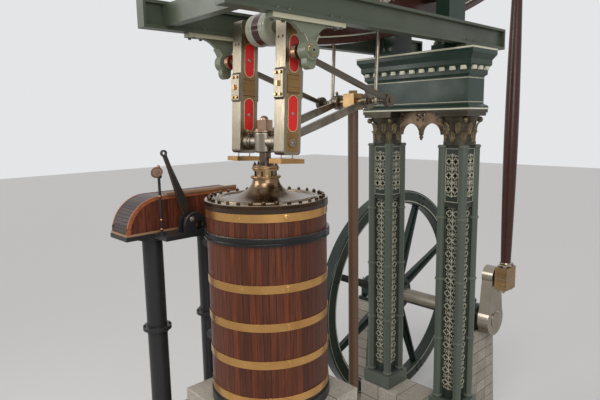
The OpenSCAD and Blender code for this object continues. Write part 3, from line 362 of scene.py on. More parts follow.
# The cylinder barrel with its bottom and top flanges, one iron casting.
# What shows is the turned edge of its top flange, in a very dark brown.
paint_nodes(cast_paint("dark_flange_edge", (0.030, 0.016, 0.010), 0.25, peel=0.1), "cylinder_barrel")

# The lagging: narrow mahogany staves stood edge to edge round the cylinder and oiled.
# Each stave is chamfered along its edges, which leaves a fine vee down every joint.


def oiled_wood(name, pale, dark, stretch, roughness=0.34):
    """Wood whose grain is long where stretch is small. The tint of a board shifts and darkens it."""
    wood = Surface(name, dark, Coat_Weight=0.08, Coat_Roughness=0.25, Specular_IOR_Level=0.3)
    tint = wood.add("Attribute", {}, attribute_name="tint")["Fac"]
    shift = wood.add("CombineXYZ", {"X": tint, "Y": tint, "Z": tint})[0]
    warp = wood.add("TexNoise", {"Vector": wood.place, "Scale": 1.4, "Detail": 2.0})["Color"]
    bent = wood.add("VectorMath", {0: warp, 1: (0.05, 0.05, 0.05)}, operation="MULTIPLY")[0]
    place = wood.add("VectorMath", {0: wood.place, 1: shift}, operation="ADD")[0]
    place = wood.add("VectorMath", {0: place, 1: bent}, operation="ADD")[0]
    grain = wood.noise(5.0, 8, stretch, place)
    pores = wood.noise(24.0, 3, stretch, place)
    wood.lay(wood.spread(grain, 0.32, 0.68), pale)
    wood.lay(wood.maths("MULTIPLY", tint, 0.7), darker(dark, 0.45))
    wood.lay(wood.spread(pores, 0.58, 0.72, 0, 0.5), darker(dark, 0.3))
    return wood.finish(wood.spread(grain, 0.3, 0.7, roughness, roughness + 0.14), pores, 0.3, 0.0008)


stave_wood = oiled_wood("mahogany_staves", (0.145, 0.034, 0.010), (0.056, 0.013, 0.0045), (9, 9, 0.35))
lagging_r = lagging_high.x
barrel_r = 0.681
stave_count = 60
stave_half = math.pi * lagging_r / stave_count - 0.0008
staves = bmesh.new()
add_block(staves, (barrel_r, -stave_half, lagging_low.z),
          (lagging_r * math.cos(math.pi / stave_count), stave_half, lagging_high.z - 0.002))
outer_r = (barrel_r + lagging_r) / 2
chamfer_edges(staves, [e for e in staves.edges if all(v.co.x > outer_r for v in e.verts)
                       and e.verts[0].co.y == e.verts[1].co.y], 0.0045, 2)
bmesh.ops.spin(staves, geom=staves.verts[:] + staves.edges[:] + staves.faces[:], axis=(0, 0, 1),
               cent=(0, 0, 0), angle=2 * math.pi * (stave_count - 1) / stave_count,
               steps=stave_count - 1, use_duplicate=True)
tones = [draw.random() ** 1.3 for _ in range(stave_count)]
tint_layer = staves.faces.layers.float.new("tint")
for face in staves.faces:
    middle = face.calc_center_median()
    turn = math.atan2(middle.y, middle.x) / (2 * math.pi)
    face[tint_layer] = tones[round(turn * stave_count) % stave_count]
finish_piece("lagging_staves", staves, "root", stave_wood, instead_of=("wood_lagging",))

# The bands that hold the staves: polished sheet brass. Each is drawn tight at a lug by two
# round-headed screws, and small pins fix it to the staves.


def wiped_brass(name, colour, roughness=0.24, tarnish=(0.30, 0.16, 0.06)):
    """Brass that is polished by hand, with level wipe marks and clouds of tarnish."""
    brass = Surface(name, colour, Metallic=1.0)
    cloud = brass.spread(brass.noise(3.4, 6), 0.4, 0.75)
    wipe = brass.noise(3.0, 4, (1, 1, 60))
    brass.lay(brass.maths("MULTIPLY", cloud, 0.5), tarnish)
    brass.lay(brass.spread(wipe, 0.35, 0.7, 0, 0.22), darker(colour, 0.7))
    return brass.finish(brass.spread(cloud, 0, 1, roughness, roughness + 0.16), wipe, 0.15, 0.0006, 0.002)


band_brass = wiped_brass("band_brass", (0.64, 0.355, 0.125), 0.25, tarnish=(0.26, 0.125, 0.045))
paint_nodes(band_brass, "lagging_bands")
band_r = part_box("lagging_bands")[1].x
lug_angles = (-112, 68)
pin_count = 20
lugs = bmesh.new()
for z in [lagging_high.z - band_h] + [lagging_low.z + i * band_pitch for i in range(low_bands)]:
    for angle in lug_angles:
        seam = turned(angle) @ moved(band_r, 0, z + band_h / 2)
        add_block(lugs, (-0.004, -0.030, -0.040), (0.006, 0.030, 0.040), 0.003, 2, seam)
        for y in (-0.02, 0.02):
            turn_profile(lugs, ((0, 0.006), (0.006, 0.005), (0.009, 0)),
                         seam @ moved(0.006, 0, y) @ turned(90, "Y"), 12)
    for i in range(pin_count):
        turn_profile(lugs, ((0, 0.0025), (0.004, 0.002), (0.006, 0)), turned(360 * (i + 0.5) / pin_count)
                     @ moved(band_r, 0, z + band_h / 2) @ turned(90, "Y"), 8)
finish_piece("band_lugs", lugs, "root", band_brass, smooth=40)

# The ring where the lagging passes the floor, a black casting with a bright worn bead.
# It is let into the floor plates and turned on its outer edge.


def turned_metal(name, colour, roughness, middle=(0, 0), axis="Z", marks=0.25, film=(0.22, 0.17, 0.11),
                 zones=()):
    """Metal with the fine circular marks of a lathe round one axis. A zone gives another colour
    where the radius or the height along the axis lies between two values."""
    metal = Surface(name, colour, Metallic=1.0)
    height = metal.split(metal.place)[axis]
    radius = metal.maths("SQRT", metal.squared_reach("XYZ".replace(axis, ""), middle))
    for measure, low, high, tone in zones:
        measured = {"radius": radius, "height": height}[measure]
        metal.lay(metal.maths("MULTIPLY", metal.maths("GREATER_THAN", measured, low),
                              metal.maths("LESS_THAN", measured, high)), tone)
    normal = metal.split(metal.add("NewGeometry", {})["Normal"])
    faced = metal.maths("GREATER_THAN", metal.maths("ABSOLUTE", normal[axis]), 0.3)
    path = metal.add("CombineXYZ", {"X": metal.maths("MULTIPLY", radius, faced), "Z": height})[0]
    lines = metal.noise(420, 2, place=path)
    cloud = metal.spread(metal.noise(2.6, 6), 0.35, 0.68)
    metal.lay(metal.maths("MULTIPLY", cloud, 0.4), film)
    metal.lay(metal.spread(lines, 0.3, 0.7, 0, 0.15), darker(film, 0.5))
    rough = metal.spread(cloud, 0, 1, roughness - 0.05, roughness + 0.10)
    return metal.finish(rough, lines, marks, 0.0006, 0.003)


def round_bead(radius, level, wide, high, points):
    """The profile of a bead: a ring of points round (radius, level)."""
    turns = [2 * math.pi * i / points for i in range(points)]
    return [(radius + wide * math.cos(a), level + high * math.sin(a)) for a in turns]


paint_nodes(cast_paint("floor_ring_black", (0.012, 0.012, 0.012), 0.22, peel=0.1, dust=0.03), "floor_ring")
ring_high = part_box("floor_ring")[1]
ring_bead = bmesh.new()
bead_profile = round_bead(ring_high.x - 0.012, ring_high.z - 0.001, 0.004, 0.003, 6)
turn_profile(ring_bead, bead_profile, steps=96, closed=True)
finish_piece("floor_ring_bead", ring_bead, "root",
             turned_metal("worn_bead", (0.34, 0.29, 0.22), 0.3), smooth=60)

# The cylinder cover, turned and polished: a pale rim under the nuts, a darker oiled bell, and two
# beads between them. Square nuts, worn bright on top, hold it down on studs all round.
beads_in = 0.62
beads_out = 0.72
cover_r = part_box("cylinder_cover")[1].x
rim_pale = (0.40, 0.325, 0.23)
edge_dark = (0.050, 0.030, 0.019)
paint_nodes(turned_metal("cover_iron", (0.200, 0.132, 0.076), 0.24, film=(0.120, 0.070, 0.036), zones=(
    ("radius", beads_in, beads_out, (0.27, 0.21, 0.14)), ("radius", beads_out, 1.0, rim_pale),
    ("radius", cover_r - 0.002, 1.0, edge_dark))), "cylinder_cover")
nuts_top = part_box("cover_nuts")[1].z
stud_end_h = 0.0145
paint_nodes(turned_metal("worn_nuts", (0.060, 0.036, 0.021), 0.32, film=(0.032, 0.019, 0.012), zones=(
    ("height", nuts_top - stud_end_h, nuts_top + 1.0, (0.31, 0.22, 0.135)),)), "cover_nuts")

# The stuffing box round the piston rod: a bronze gland drawn down on the packing by six studs,
# with a turned moulding where the box meets the cover's neck.
gland_bronze = turned_metal("gland_bronze", (0.36, 0.235, 0.125), 0.26, film=(0.19, 0.11, 0.05))
paint_nodes(gland_bronze, "stuffing_box")
box_low, box_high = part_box("stuffing_box")
stud_circle = 0.150
recess_z = (box_low.z + 0.04, box_low.z + 0.11)
gland_studs = bmesh.new()
for i in range(6):
    stud = turned(30 + 60 * i) @ moved(stud_circle, 0, 0)
    add_nut(gland_studs, stud @ moved(0, 0, box_high.z), 0.036, 0.026, 0.010, 0.020)
    turn_profile(gland_studs, [(0.010, z) for z in recess_z], stud, 12)
finish_piece("gland_nuts", gland_studs, "root",
             cast_paint("blacked_nuts", (0.040, 0.024, 0.016), 0.3, peel=0.1, dust=0.04))
neck_beads = bmesh.new()
for radius, z, size in ((box_high.x + 0.004, box_low.z + 0.020, 0.014),
                        (box_high.x - 0.012, box_high.z - 0.045, 0.008)):
    turn_profile(neck_beads, round_bead(radius, z, size, size, 8), steps=64, closed=True)
finish_piece("gland_beads", neck_beads, "root", gland_bronze, smooth=60)

# The steam casing beside the cylinder: a mahogany cover with a quarter-round end over the valve gear.
# Its sides are upright staves, its top is dark narrow slats, and a bent trim, a pale base moulding
# and a round rail finish the edges.
casing_r = casing_high.z - casing_low.z
centre_x = casing_low.x + casing_r
stave_gap = 0.0015
side_stave_w = 0.048
side_t = 0.022
trim_w = 0.055
slat_w = 0.052
slat_t = 0.024
board_soft = 0.003
boards = bmesh.new()
slats = bmesh.new()
trim = bmesh.new()
mouldings = bmesh.new()


def casing_top(x):
    return casing_low.z + math.sqrt(casing_r ** 2 - max(centre_x - x, 0) ** 2)


def even_shares(start, end, pitch):
    """Cuts a length into even shares of about a pitch, with a gap between them."""
    share = (end - start) / round((end - start) / pitch)
    for i in range(round((end - start) / share)):
        yield start + share * i + stave_gap / 2, start + share * (i + 1) - stave_gap / 2


def add_board(mesh, low, high, place=Matrix()):
    first = len(mesh.faces)
    add_block(mesh, low, high, board_soft, place=place)
    set_tints(mesh, first, draw.random() ** 1.4)


def extrude(mesh, faces, step):
    """Extrudes faces by a step and gives back the new points."""
    made = bmesh.ops.extrude_face_region(mesh, geom=faces)["geom"]
    points = [v for v in made if isinstance(v, bmesh.types.BMVert)]
    bmesh.ops.translate(mesh, verts=points, vec=step)
    return points


def rim_profile(inner, outer, half, soft):
    return mirrored((outer, half - soft), (outer - soft, half), (inner, half))


for x0, x1 in even_shares(casing_low.x, casing_high.x, side_stave_w):
    top = casing_top((x0 + x1) / 2) - trim_w * 0.6
    if top < casing_low.z + 0.03:
        continue
    for y in (casing_low.y + 0.004, casing_high.y - side_t - 0.004):
        add_board(boards, (x0, y, casing_low.z), (x1, y + side_t, top))
slat_y = (casing_low.y + 0.012, casing_high.y - 0.012)
arc_count = round(math.pi / 2 * casing_r / slat_w)
half_turn = math.pi / 4 / arc_count
slat_half = casing_r * math.tan(half_turn) - stave_gap / 2
for i in range(arc_count):
    add_board(slats, (-slat_half, slat_y[0], casing_r - slat_t),
              (slat_half, slat_y[1], casing_r * math.cos(half_turn)),
              moved(centre_x, 0, casing_low.z) @ turned(90 * ((i + 0.5) / arc_count - 1), "Y"))
for x0, x1 in even_shares(centre_x, casing_high.x, slat_w):
    add_board(slats, (x0, slat_y[0], casing_high.z - slat_t), (x1, slat_y[1], casing_high.z - 0.001))
add_board(boards, (casing_high.x - side_t, slat_y[0] + side_t, casing_low.z),
          (casing_high.x - 0.002, slat_y[1] - side_t, casing_high.z - slat_t))
trim_x = (casing_low.x - 0.003, casing_low.x - 0.003 + trim_w)
for y0, y1 in ((casing_low.y - 0.004, casing_low.y + side_t),
               (casing_high.y - side_t, casing_high.y + 0.004)):
    corners = ((trim_x[0], y0), (trim_x[0], y1), (trim_x[1], y1), (trim_x[1], y0))
    face = trim.faces.new([trim.verts.new((*corner, casing_low.z)) for corner in corners])
    bent = bmesh.ops.spin(trim, geom=[face, *face.verts, *face.edges], axis=(0, 1, 0), steps=24,
                          cent=(centre_x, 0, casing_low.z), angle=math.pi / 2)["geom_last"]
    ends = [f for f in bent if isinstance(f, bmesh.types.BMFace)]
    extrude(trim, ends, (casing_high.x - centre_x, 0, 0))
    bmesh.ops.delete(trim, geom=ends, context="FACES_ONLY")
base_h = 0.035
base_out = 0.014
base_in = 0.004
base_x = casing_low.x - base_out
for low, high in (((base_x, casing_low.y - base_out), (casing_high.x, casing_low.y + base_in)),
                  ((base_x, casing_high.y - base_in), (casing_high.x, casing_high.y + base_out)),
                  ((base_x, casing_low.y), (casing_low.x + base_in, casing_high.y))):
    add_block(mouldings, (*low, casing_low.z), (*high, casing_low.z + base_h), 0.006, 2)
rail_r = 0.030
rail_l = casing_high.x - centre_x - 0.10
rail_mid = moved(casing_high.x - rail_l / 2, casing_low.y + 0.008, casing_high.z + 0.012)
turn_profile(mouldings, rim_profile(0, rail_r, rail_l / 2, 0.008), rail_mid @ turned(90, "Y"), 20)
casing_wood = oiled_wood("casing_mahogany", (0.185, 0.045, 0.020), (0.070, 0.017, 0.009), (8, 8, 0.5))
slat_wood = oiled_wood("casing_slats", (0.060, 0.034, 0.026), (0.028, 0.016, 0.013), (8, 0.5, 8), 0.3)
trim_wood = oiled_wood("bent_trim", (0.36, 0.110, 0.042), (0.22, 0.062, 0.024), (3, 8, 8), 0.3)
rail_wood = oiled_wood("pale_moulding", (0.33, 0.190, 0.100), (0.20, 0.105, 0.055), (0.5, 8, 8), 0.28)
finish_piece("casing_boards", boards, "root", casing_wood, instead_of=("steam_casing",))
finish_piece("casing_slats", slats, "root", slat_wood)
finish_piece("casing_trim", trim, "root", trim_wood, smooth=40)
finish_piece("casing_mouldings", mouldings, "root", rail_wood, smooth=40)

# The starting lever, a flat forging with an eye at its top, in a black quadrant bracket. Handling has
# darkened it; its edges are lighter, partly rubbed wear and partly a painted highlight. A steel nut
# closes its pin, and a bright steel strip on each cheek's rim is a painted highlight.


def dark_forging(name, colour, edge_wear_and_highlight, roughness=0.38):
    """Iron in its dark forged skin, lighter along its edges, partly rubbed wear and partly a painted
    highlight.
    """
    iron = Surface(name, colour, Metallic=0.85)
    cloud = iron.noise(7, 7)
    skin = iron.noise(55, 4)
    rounded = iron.add("Bevel", {"Radius": 0.006}, samples=4)["Normal"]
    sharp = iron.add("NewGeometry", {})["Normal"]
    match = iron.add("VectorMath", {0: rounded, 1: sharp}, operation="DOT_PRODUCT")["Value"]
    iron.lay(iron.spread(cloud, 0.35, 0.7), darker(colour, 0.6))
    # A lighter colour along the edges: rubbed wear, and a painted highlight of the bright edges.
    iron.lay(iron.maths("MULTIPLY", iron.spread(match, 0.995, 0.93), iron.spread(cloud, 0.3, 0.6)), edge_wear_and_highlight)
    rough = iron.spread(skin, 0.3, 0.7, roughness - 0.08, roughness + 0.12)
    return iron.finish(rough, skin, 0.3, 0.001, 0.006)


def outward(side):
    """Turns the local Z to face +Y or -Y."""
    return turned(-90 * side, "X")


def add_scroll(mesh, place, radius, start, sweep, wide=0.006, deep=0.008, steps=9):
    """A bent strip that lies in the local XY plane, round the place."""
    at = place @ Matrix.Rotation(start, 4, "Z")
    corners = ((-0.5, 0), (0.5, 0), (0.35, 1), (-0.35, 1))
    face = mesh.faces.new([mesh.verts.new(at @ Vector((radius + a * wide, 0, b * deep))) for a, b in corners])
    bmesh.ops.spin(mesh, geom=[face, *face.verts, *face.edges], axis=at.to_3x3() @ Vector((0, 0, 1)),
                   cent=place.translation, angle=sweep, steps=steps)


paint_nodes(dark_forging("dark_oiled_steel", (0.070, 0.060, 0.052), (0.30, 0.27, 0.23)), "starting_lever")
oiled_steel = turned_metal("oiled_steel", (0.36, 0.33, 0.29), 0.3)
lever_pin = pins["starting_lever_swing"]
cheek_out = 0.100
cheek_r = 0.185
cheek_centre = Vector((0.055, 0, -0.085))
lever_nuts_and_highlight_arcs = bmesh.new()
for side in (-1, 1):
    at = moved(lever_pin + Vector((0, side * cheek_out, 0))) @ outward(side)
    turn_profile(lever_nuts_and_highlight_arcs, ((0, 0.008), (0.040, 0.008), (0.044, 0.004), (0.044, -0.012)), at)
    add_nut(lever_nuts_and_highlight_arcs, at @ moved(0, 0, 0.006), 0.052, 0.020, 0.014, 0.008)
    # A bright steel strip along the rim of each quadrant cheek is a painted highlight of that rim.
    at = moved(lever_pin + cheek_centre + Vector((0, side * (cheek_out - 0.012), 0))) @ outward(side)
    add_scroll(lever_nuts_and_highlight_arcs, at, cheek_r - 0.008, -math.pi if side > 0 else 0, math.pi, 0.012, 0.002, 20)
finish_piece("lever_pin_nuts_and_highlight_arcs", lever_nuts_and_highlight_arcs, "root", oiled_steel, smooth=35)

# The valve pillar beside it, a black iron tube with a copper ferrule and brass cap at its head.
# The hand wheel leans out from it, a brown disc in a dark round rim.
paint_nodes(black_paint, "valve_pillar")
paint_nodes(dark_forging("hand_wheel_iron", (0.115, 0.070, 0.048), (0.30, 0.21, 0.14)), "hand_wheel")
pillar_head = pins["hand_wheel_turn"]
pillar_r = 0.020
ferrules = bmesh.new()
for z, half, reach in ((0.075, 0.030, 0.007), (-0.300, 0.012, 0.006), (-0.640, 0.012, 0.006)):
    r = pillar_r + reach
    turn_profile(ferrules, mirrored((r, half - 0.003), (r - 0.002, half), (pillar_r - 0.002, half)),
                 moved(pillar_head + Vector((0, 0, z))))
for z, wide, high in ((pillar_head.z + 0.122, 0.026, 0.026), (floor_z + 0.070, 0.030, 0.024)):
    turns = [math.pi * (i / 10 - 0.5) for i in range(11)]
    turn_profile(ferrules, [(wide * math.cos(a), high * math.sin(a)) for a in turns],
                 moved(pillar_head.x, pillar_head.y, z))
copper = wiped_brass("copper_ferrules", (0.50, 0.24, 0.125), 0.26, tarnish=(0.20, 0.09, 0.045))
finish_piece("pillar_ferrules", ferrules, "root", copper, smooth=50)

# The two iron columns: a core between four round corner shafts, with a cast panel on each face.
# They are painted grey-green, and the scrollwork of the panels, which runs on down the core below
# the floor, is picked out in cream.
capitals_low, capitals_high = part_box("capitals")
column_x = (capitals_low.x + capitals_high.x) / 2
column_y = capitals_high.y - 0.34
shaft_off = 0.205
shaft_r = 0.075
panel_face = 0.220
core_face = 0.160
foot_h = 0.30
panel_low = floor_z + 0.09
panel_high = capitals_low.z - 0.06
strip_w = 0.127
strip_t = 0.008
pierce_pitch = 0.25
pierce_off = 0.065
pierce_rows = math.floor((panel_high - panel_low) / pierce_pitch)
first_row = (panel_high + panel_low - (pierce_rows - 1) * pierce_pitch) / 2
core_rows = math.floor((floor_z - columns_low.z - foot_h) / pierce_pitch)
column_axes = [Vector((column_x, side * column_y, 0)) for side in (-1, 1)]
upright = turned(90) @ turned(90, "X")


def panel_ground(paint):
    """Dark paint on the ground of the panels, behind their scrollwork."""
    split = paint.split(paint.place)
    across = [paint.maths("ABSOLUTE", paint.maths("SUBTRACT", split["X"], column_x)),
              paint.maths("ABSOLUTE", paint.maths("SUBTRACT", paint.maths("ABSOLUTE", split["Y"]), column_y))]
    between = paint.maths("LESS_THAN", paint.maths("MINIMUM", *across), strip_w + 0.004)
    inside = paint.maths("LESS_THAN", paint.maths("MAXIMUM", *across), panel_face + 0.006)
    paint.lay(paint.maths("MULTIPLY", between, inside), (0.022, 0.028, 0.022))


def draw_tracery():
    """One motif of a panel: two pierced quatrefoils with their mouldings, and the scrolls between."""
    mesh = bmesh.new()
    for x, quarter in product((-pierce_off, pierce_off), range(4)):
        turn = math.pi / 2 * quarter
        lobe = moved(x + 0.024 * math.cos(turn), 0.024 * math.sin(turn), 0)
        add_scroll(mesh, lobe, 0.035, turn - 1.95, 3.9, 0.011, 0.009, 7)
    for side, up in product((-1, 1), (-1, 1)):
        hand = side * up
        inner = moved(side * 0.042, up * 0.098, 0)
        outer = moved(side * 0.098, up * 0.106, 0)
        add_scroll(mesh, inner, 0.022, (0 if side < 0 else math.pi) + hand * 0.5, -hand * 4.4, 0.009)
        add_scroll(mesh, outer, 0.015, math.pi / 2 * up, hand * 4.0, 0.009, steps=6)
    half = pierce_pitch / 2
    add_block(mesh, (-0.005, -half, 0), (0.005, half, strip_t), 0.0015)
    for y in (-half, half):
        turn_profile(mesh, ((0, 0.012), (0.008, 0.010), (0.014, 0.003), (0.015, 0)), moved(0, y, 0.002), 12)
    motif = bpy.data.meshes.new("tracery_motif")
    mesh.to_mesh(motif)
    mesh.free()
    return motif


def stamp(mesh, motif, place):
    motif.transform(place)
    mesh.from_mesh(motif)
    motif.transform(place.inverted())


motif = draw_tracery()
tracery = bmesh.new()
for axis, quarter in product(column_axes, range(4)):
    face = moved(axis) @ turned(90 * quarter) @ moved(panel_face - 0.002, 0, 0) @ upright
    for row in range(pierce_rows):
        stamp(tracery, motif, face @ moved(0, first_row + row * pierce_pitch, 0))
    for x in (-strip_w, strip_w):
        add_block(tracery, (x - 0.004, panel_low, 0), (x + 0.004, panel_high, strip_t), 0.0015, place=face)
    for z in (panel_low + 0.004, panel_high - 0.010):
        add_block(tracery, (-strip_w, z, 0), (strip_w, z + 0.008, strip_t), 0.0015, place=face)
    for row in range(core_rows):
        stamp(tracery, motif, face @ moved(0, floor_z - (row + 0.5) * pierce_pitch, core_face - panel_face))
bpy.data.meshes.remove(motif)
tracery_cream = cast_paint("tracery_cream", (0.50, 0.475, 0.36), 0.42, peel=0.1, dust=0.0)
finish_piece("column_tracery", tracery, "root", tracery_cream, smooth=45)
column_green = cast_paint("column_grey_green", (0.080, 0.094, 0.074), 0.34, peel=0.25, trim=panel_ground)
paint_nodes(column_green, "columns")
ring_levels = [columns_low.z + foot_h + k * 1.15 for k in range(4)] + [panel_high + 0.03]
ring_profile = mirrored((shaft_r + 0.018, 0.008), (shaft_r + 0.008, 0.014), (shaft_r + 0.008, 0.026),
                        (shaft_r - 0.002, 0.030))
shaft_rings = bmesh.new()
for axis, x, y, z in product(column_axes, (-shaft_off, shaft_off), (-shaft_off, shaft_off), ring_levels):
    turn_profile(shaft_rings, ring_profile, moved(axis + Vector((x, y, z))), 28)
ring_green = cast_paint("ring_grey_green", (0.105, 0.120, 0.092), 0.34, peel=0.2)
finish_piece("shaft_rings", shaft_rings, "root", ring_green, smooth=50)

# The capitals, with two rows of cast leaves under a square abacus, and the pierced arch that hangs
# between them. They are painted in bronze with the leaves' ridges rubbed with gold.


def gilt_paint(name, pale, deep):
    """Bronze paint, part metal, that has gone deeper in clouds."""
    gilt = Surface(name, pale, Metallic=0.5)
    grain = gilt.noise(60, 3)
    gilt.lay(gilt.spread(gilt.noise(5, 6), 0.35, 0.65), deep)
    return gilt.finish(gilt.spread(grain, 0.3, 0.7, 0.32, 0.5), grain, 0.3, 0.001, 0.004)


leaf_gold = gilt_paint("leaf_gold", (0.200, 0.150, 0.078), (0.075, 0.058, 0.034))
paint_nodes(gilt_paint("capital_bronze", (0.060, 0.050, 0.030), (0.030, 0.027, 0.018)), "capitals")
paint_nodes(gilt_paint("arch_bronze", (0.190, 0.120, 0.068), (0.085, 0.055, 0.034)), "spandrel_arch")
throat_r = 0.25
flare = 0.085
bell_low = capitals_low.z + 0.06
bell_h = 0.44
leaf_t = 0.008
leaf_count = 8
leaf_rows = ((0.00, 0.22, 0.0, 0.19), (0.13, 0.25, 0.5, 0.17))
volute_off = 0.245
leaves = bmesh.new()


def bell_radius(share):
    return throat_r + flare * (1 - math.sqrt(max(1 - min(share, 1) ** 2, 0)))


def shape_leaf(vert, axis, turn, start_h, leaf_h, leaf_w):
    """Bends a point of a flat plate to a lobed leaf that follows the bell and curls at its tip."""
    across, up = vert.co.x * 2, vert.co.y + 0.5
    lobes = 1 + 0.16 * math.cos(up * math.pi * 7)
    width = leaf_w * (0.42 + 0.75 * up - 1.05 * up ** 3) * lobes
    z = bell_low + start_h + leaf_h * (up - 0.35 * max(up - 0.72, 0))
    curl = 0.15 * max(up - 0.5, 0) ** 1.5
    drop = 2.2 * leaf_h * max(up - 0.8, 0) ** 2
    ridge = 0.012 * (1 - abs(across)) + 0.006 * math.cos(across * math.pi * 3)
    radius = bell_radius((z - bell_low) / bell_h) + 0.006 + curl + ridge + vert.co.z
    angle = turn + across * width / 2 / radius
    vert.co = Vector((axis.x + radius * math.cos(angle), axis.y + radius * math.sin(angle), z - drop))


for axis, (start_h, leaf_h, offset, leaf_w), i in product(column_axes, leaf_rows, range(leaf_count)):
    plate = bmesh.ops.create_grid(leaves, x_segments=6, y_segments=10, size=0.5)["verts"]
    front = extrude(leaves, list({f for v in plate for f in v.link_faces}), (0, 0, leaf_t))
    for vert in plate + front:
        shape_leaf(vert, axis, 2 * math.pi * (i + offset) / leaf_count, start_h, leaf_h, leaf_w)
for axis, x, y in product(column_axes, (-1, 1), (-1, 1)):
    volute = (moved(axis + Vector((x * volute_off, y * volute_off, bell_low + bell_h - 0.062)))
              @ Matrix.Rotation(math.atan2(y, x), 4, "Z") @ turned(90, "X"))
    for radius, half in ((0.052, 0.020), (0.034, 0.028), (0.016, 0.034)):
        turn_profile(leaves, rim_profile(0, radius, half, 0.005), volute)
finish_piece("capital_leaves", leaves, "root", leaf_gold, smooth=50)
arch_low, arch_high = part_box("spandrel_arch")
arch_r = arch_high.y / 2 - 0.018
arch_h = 0.44
arch_sweep = math.pi / 2 - 0.72
arch_trim = bmesh.new()
for front, side in product((-1, 1), (-1, 1)):
    face_x = arch_high.x if front > 0 else arch_low.x
    at = moved(face_x, side * arch_high.y / 2, arch_high.z - arch_h) @ upright
    if front < 0:
        at = at @ turned(180, "Y")
    for radius, start in product((arch_r + 0.008, arch_r + 0.030), (0.02, math.pi / 2 + 0.70)):
        add_scroll(arch_trim, at, radius, start, arch_sweep, 0.008, 0.008, 14)
finish_piece("arch_mouldings", arch_trim, "root", leaf_gold, smooth=45)

# The entablature over the columns, a hollow iron beam in dark green gloss. Cream lines follow its
# mouldings, the top one along the cornice's upper edge standing in as a painted highlight, and a row
# of cream dentils stands under the cornice on all four sides.
green_gloss = cast_paint("dark_green_gloss", (0.012, 0.030, 0.019), 0.3, peel=0.2, dust=0.03)
paint_nodes(green_gloss, "entablature")
cream = cast_paint("cream_lining_and_highlight", (0.58, 0.56, 0.43), 0.42, peel=0.1, dust=0.0)
ent_low, ent_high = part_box("entablature")
dentil_w = 0.092
dentil_h = 0.066
dentil_out = 0.050
dentil_pitch = 0.205
dentil_inset = Vector((0.106, 0.106, 0))
dentil_level = ent_high.z - ent_low.z - 0.365
line_t = 0.004
frieze = bmesh.new()


def places_round(low, high, pitch):
    """Places at even steps along the four sides of a level box, facing outwards along -Y."""
    size = high - low
    for turn, length, off in ((0, size.x, size.y / 2), (90, size.y, size.x / 2)):
        count = round(length / pitch)
        for i, flip in product(range(count), (0, 180)):
            yield (moved((low + high) / 2) @ turned(turn + flip)
                   @ moved(length * ((i + 0.5) / count - 0.5), -off, -size.z / 2))


def add_line(mesh, low, high, z, height, inset):
    """A raised line round the four sides of a box that is drawn in by an inset."""
    x0, y0 = (v + inset - line_t for v in low.xy)
    x1, y1 = (v - inset + line_t for v in high.xy)
    for a, b in (((x0, y0), (x1, y0 + 2 * line_t)), ((x0, y1 - 2 * line_t), (x1, y1)),
                 ((x0, y0), (x0 + 2 * line_t, y1)), ((x1 - 2 * line_t, y0), (x1, y1))):
        add_block(mesh, (*a, z), (*b, z + height), line_t / 2)


for place in places_round(ent_low + dentil_inset, ent_high - dentil_inset, dentil_pitch):
    add_block(frieze, (-dentil_w / 2, -dentil_out, 0), (dentil_w / 2, 0.02, dentil_h), 0.005,
              place=place @ moved(0, 0, dentil_level))
# The first line runs along the cornice's top edge as a painted highlight; the rest are cream lining.
for z, height, inset in ((ent_high.z - 0.032, 0.030, 0.0), (ent_high.z - 0.185, 0.022, 0.060),
                         (ent_high.z - 0.500, 0.012, 0.150), (ent_low.z + 0.125, 0.010, 0.150),
                         (ent_low.z + 0.002, 0.028, 0.090)):
    add_line(frieze, ent_low, ent_high, z, height, inset)
finish_piece("cornice_ornament", frieze, "root", cream)

# The trunnion bearings on the entablature: bronze caps bolted down on green pedestals, each with a
# brass oil cup in the middle of its cap.


def four_nuts(mesh, place, reach_x, reach_y, *nut):
    """Nuts at the corners of a rectangle that reaches so far from the middle of place."""
    for x, y in product((-reach_x, reach_x), (-reach_y, reach_y)):
        add_nut(mesh, place @ moved(x, y, 0), *nut)


cap_bronze = turned_metal("cap_bronze", (0.38, 0.25, 0.125), 0.3, film=(0.20, 0.11, 0.05))
paint_nodes(cap_bronze, "trunnion_caps")
paint_nodes(green_gloss, "trunnion_pedestals")
trunnion = pins["beam_rock"]
caps_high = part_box("trunnion_caps")[1]
caps_y = caps_high.y - 0.12
cup_profile = ((0, -0.02), (0.012, -0.02), (0.012, 0.010), (0.030, 0.022), (0.034, 0.030), (0.034, 0.060),
               (0.036, 0.064), (0.036, 0.070), (0.030, 0.076), (0.010, 0.084), (0.008, 0.094), (0, 0.096))
cap_nuts = bmesh.new()
oil_cups = bmesh.new()
for side in (-1, 1):
    foot = moved(trunnion.x, side * caps_y, 0)
    four_nuts(cap_nuts, foot @ moved(0, 0, trunnion.z + 0.06), 0.195, 0.060, 0.060, 0.045, 0.017, 0.030)
    four_nuts(cap_nuts, foot @ moved(0, 0, ent_high.z + 0.08), 0.330, 0.080, 0.070, 0.050, 0.020, 0.030)
    turn_profile(oil_cups, cup_profile, foot @ moved(0, 0, caps_high.z))
finish_piece("trunnion_cap_nuts", cap_nuts, "root", oiled_steel)
cup_brass = wiped_brass("cup_brass", (0.62, 0.40, 0.17), 0.22)
finish_piece("trunnion_oil_cups", oil_cups, "root", cup_brass, smooth=45)

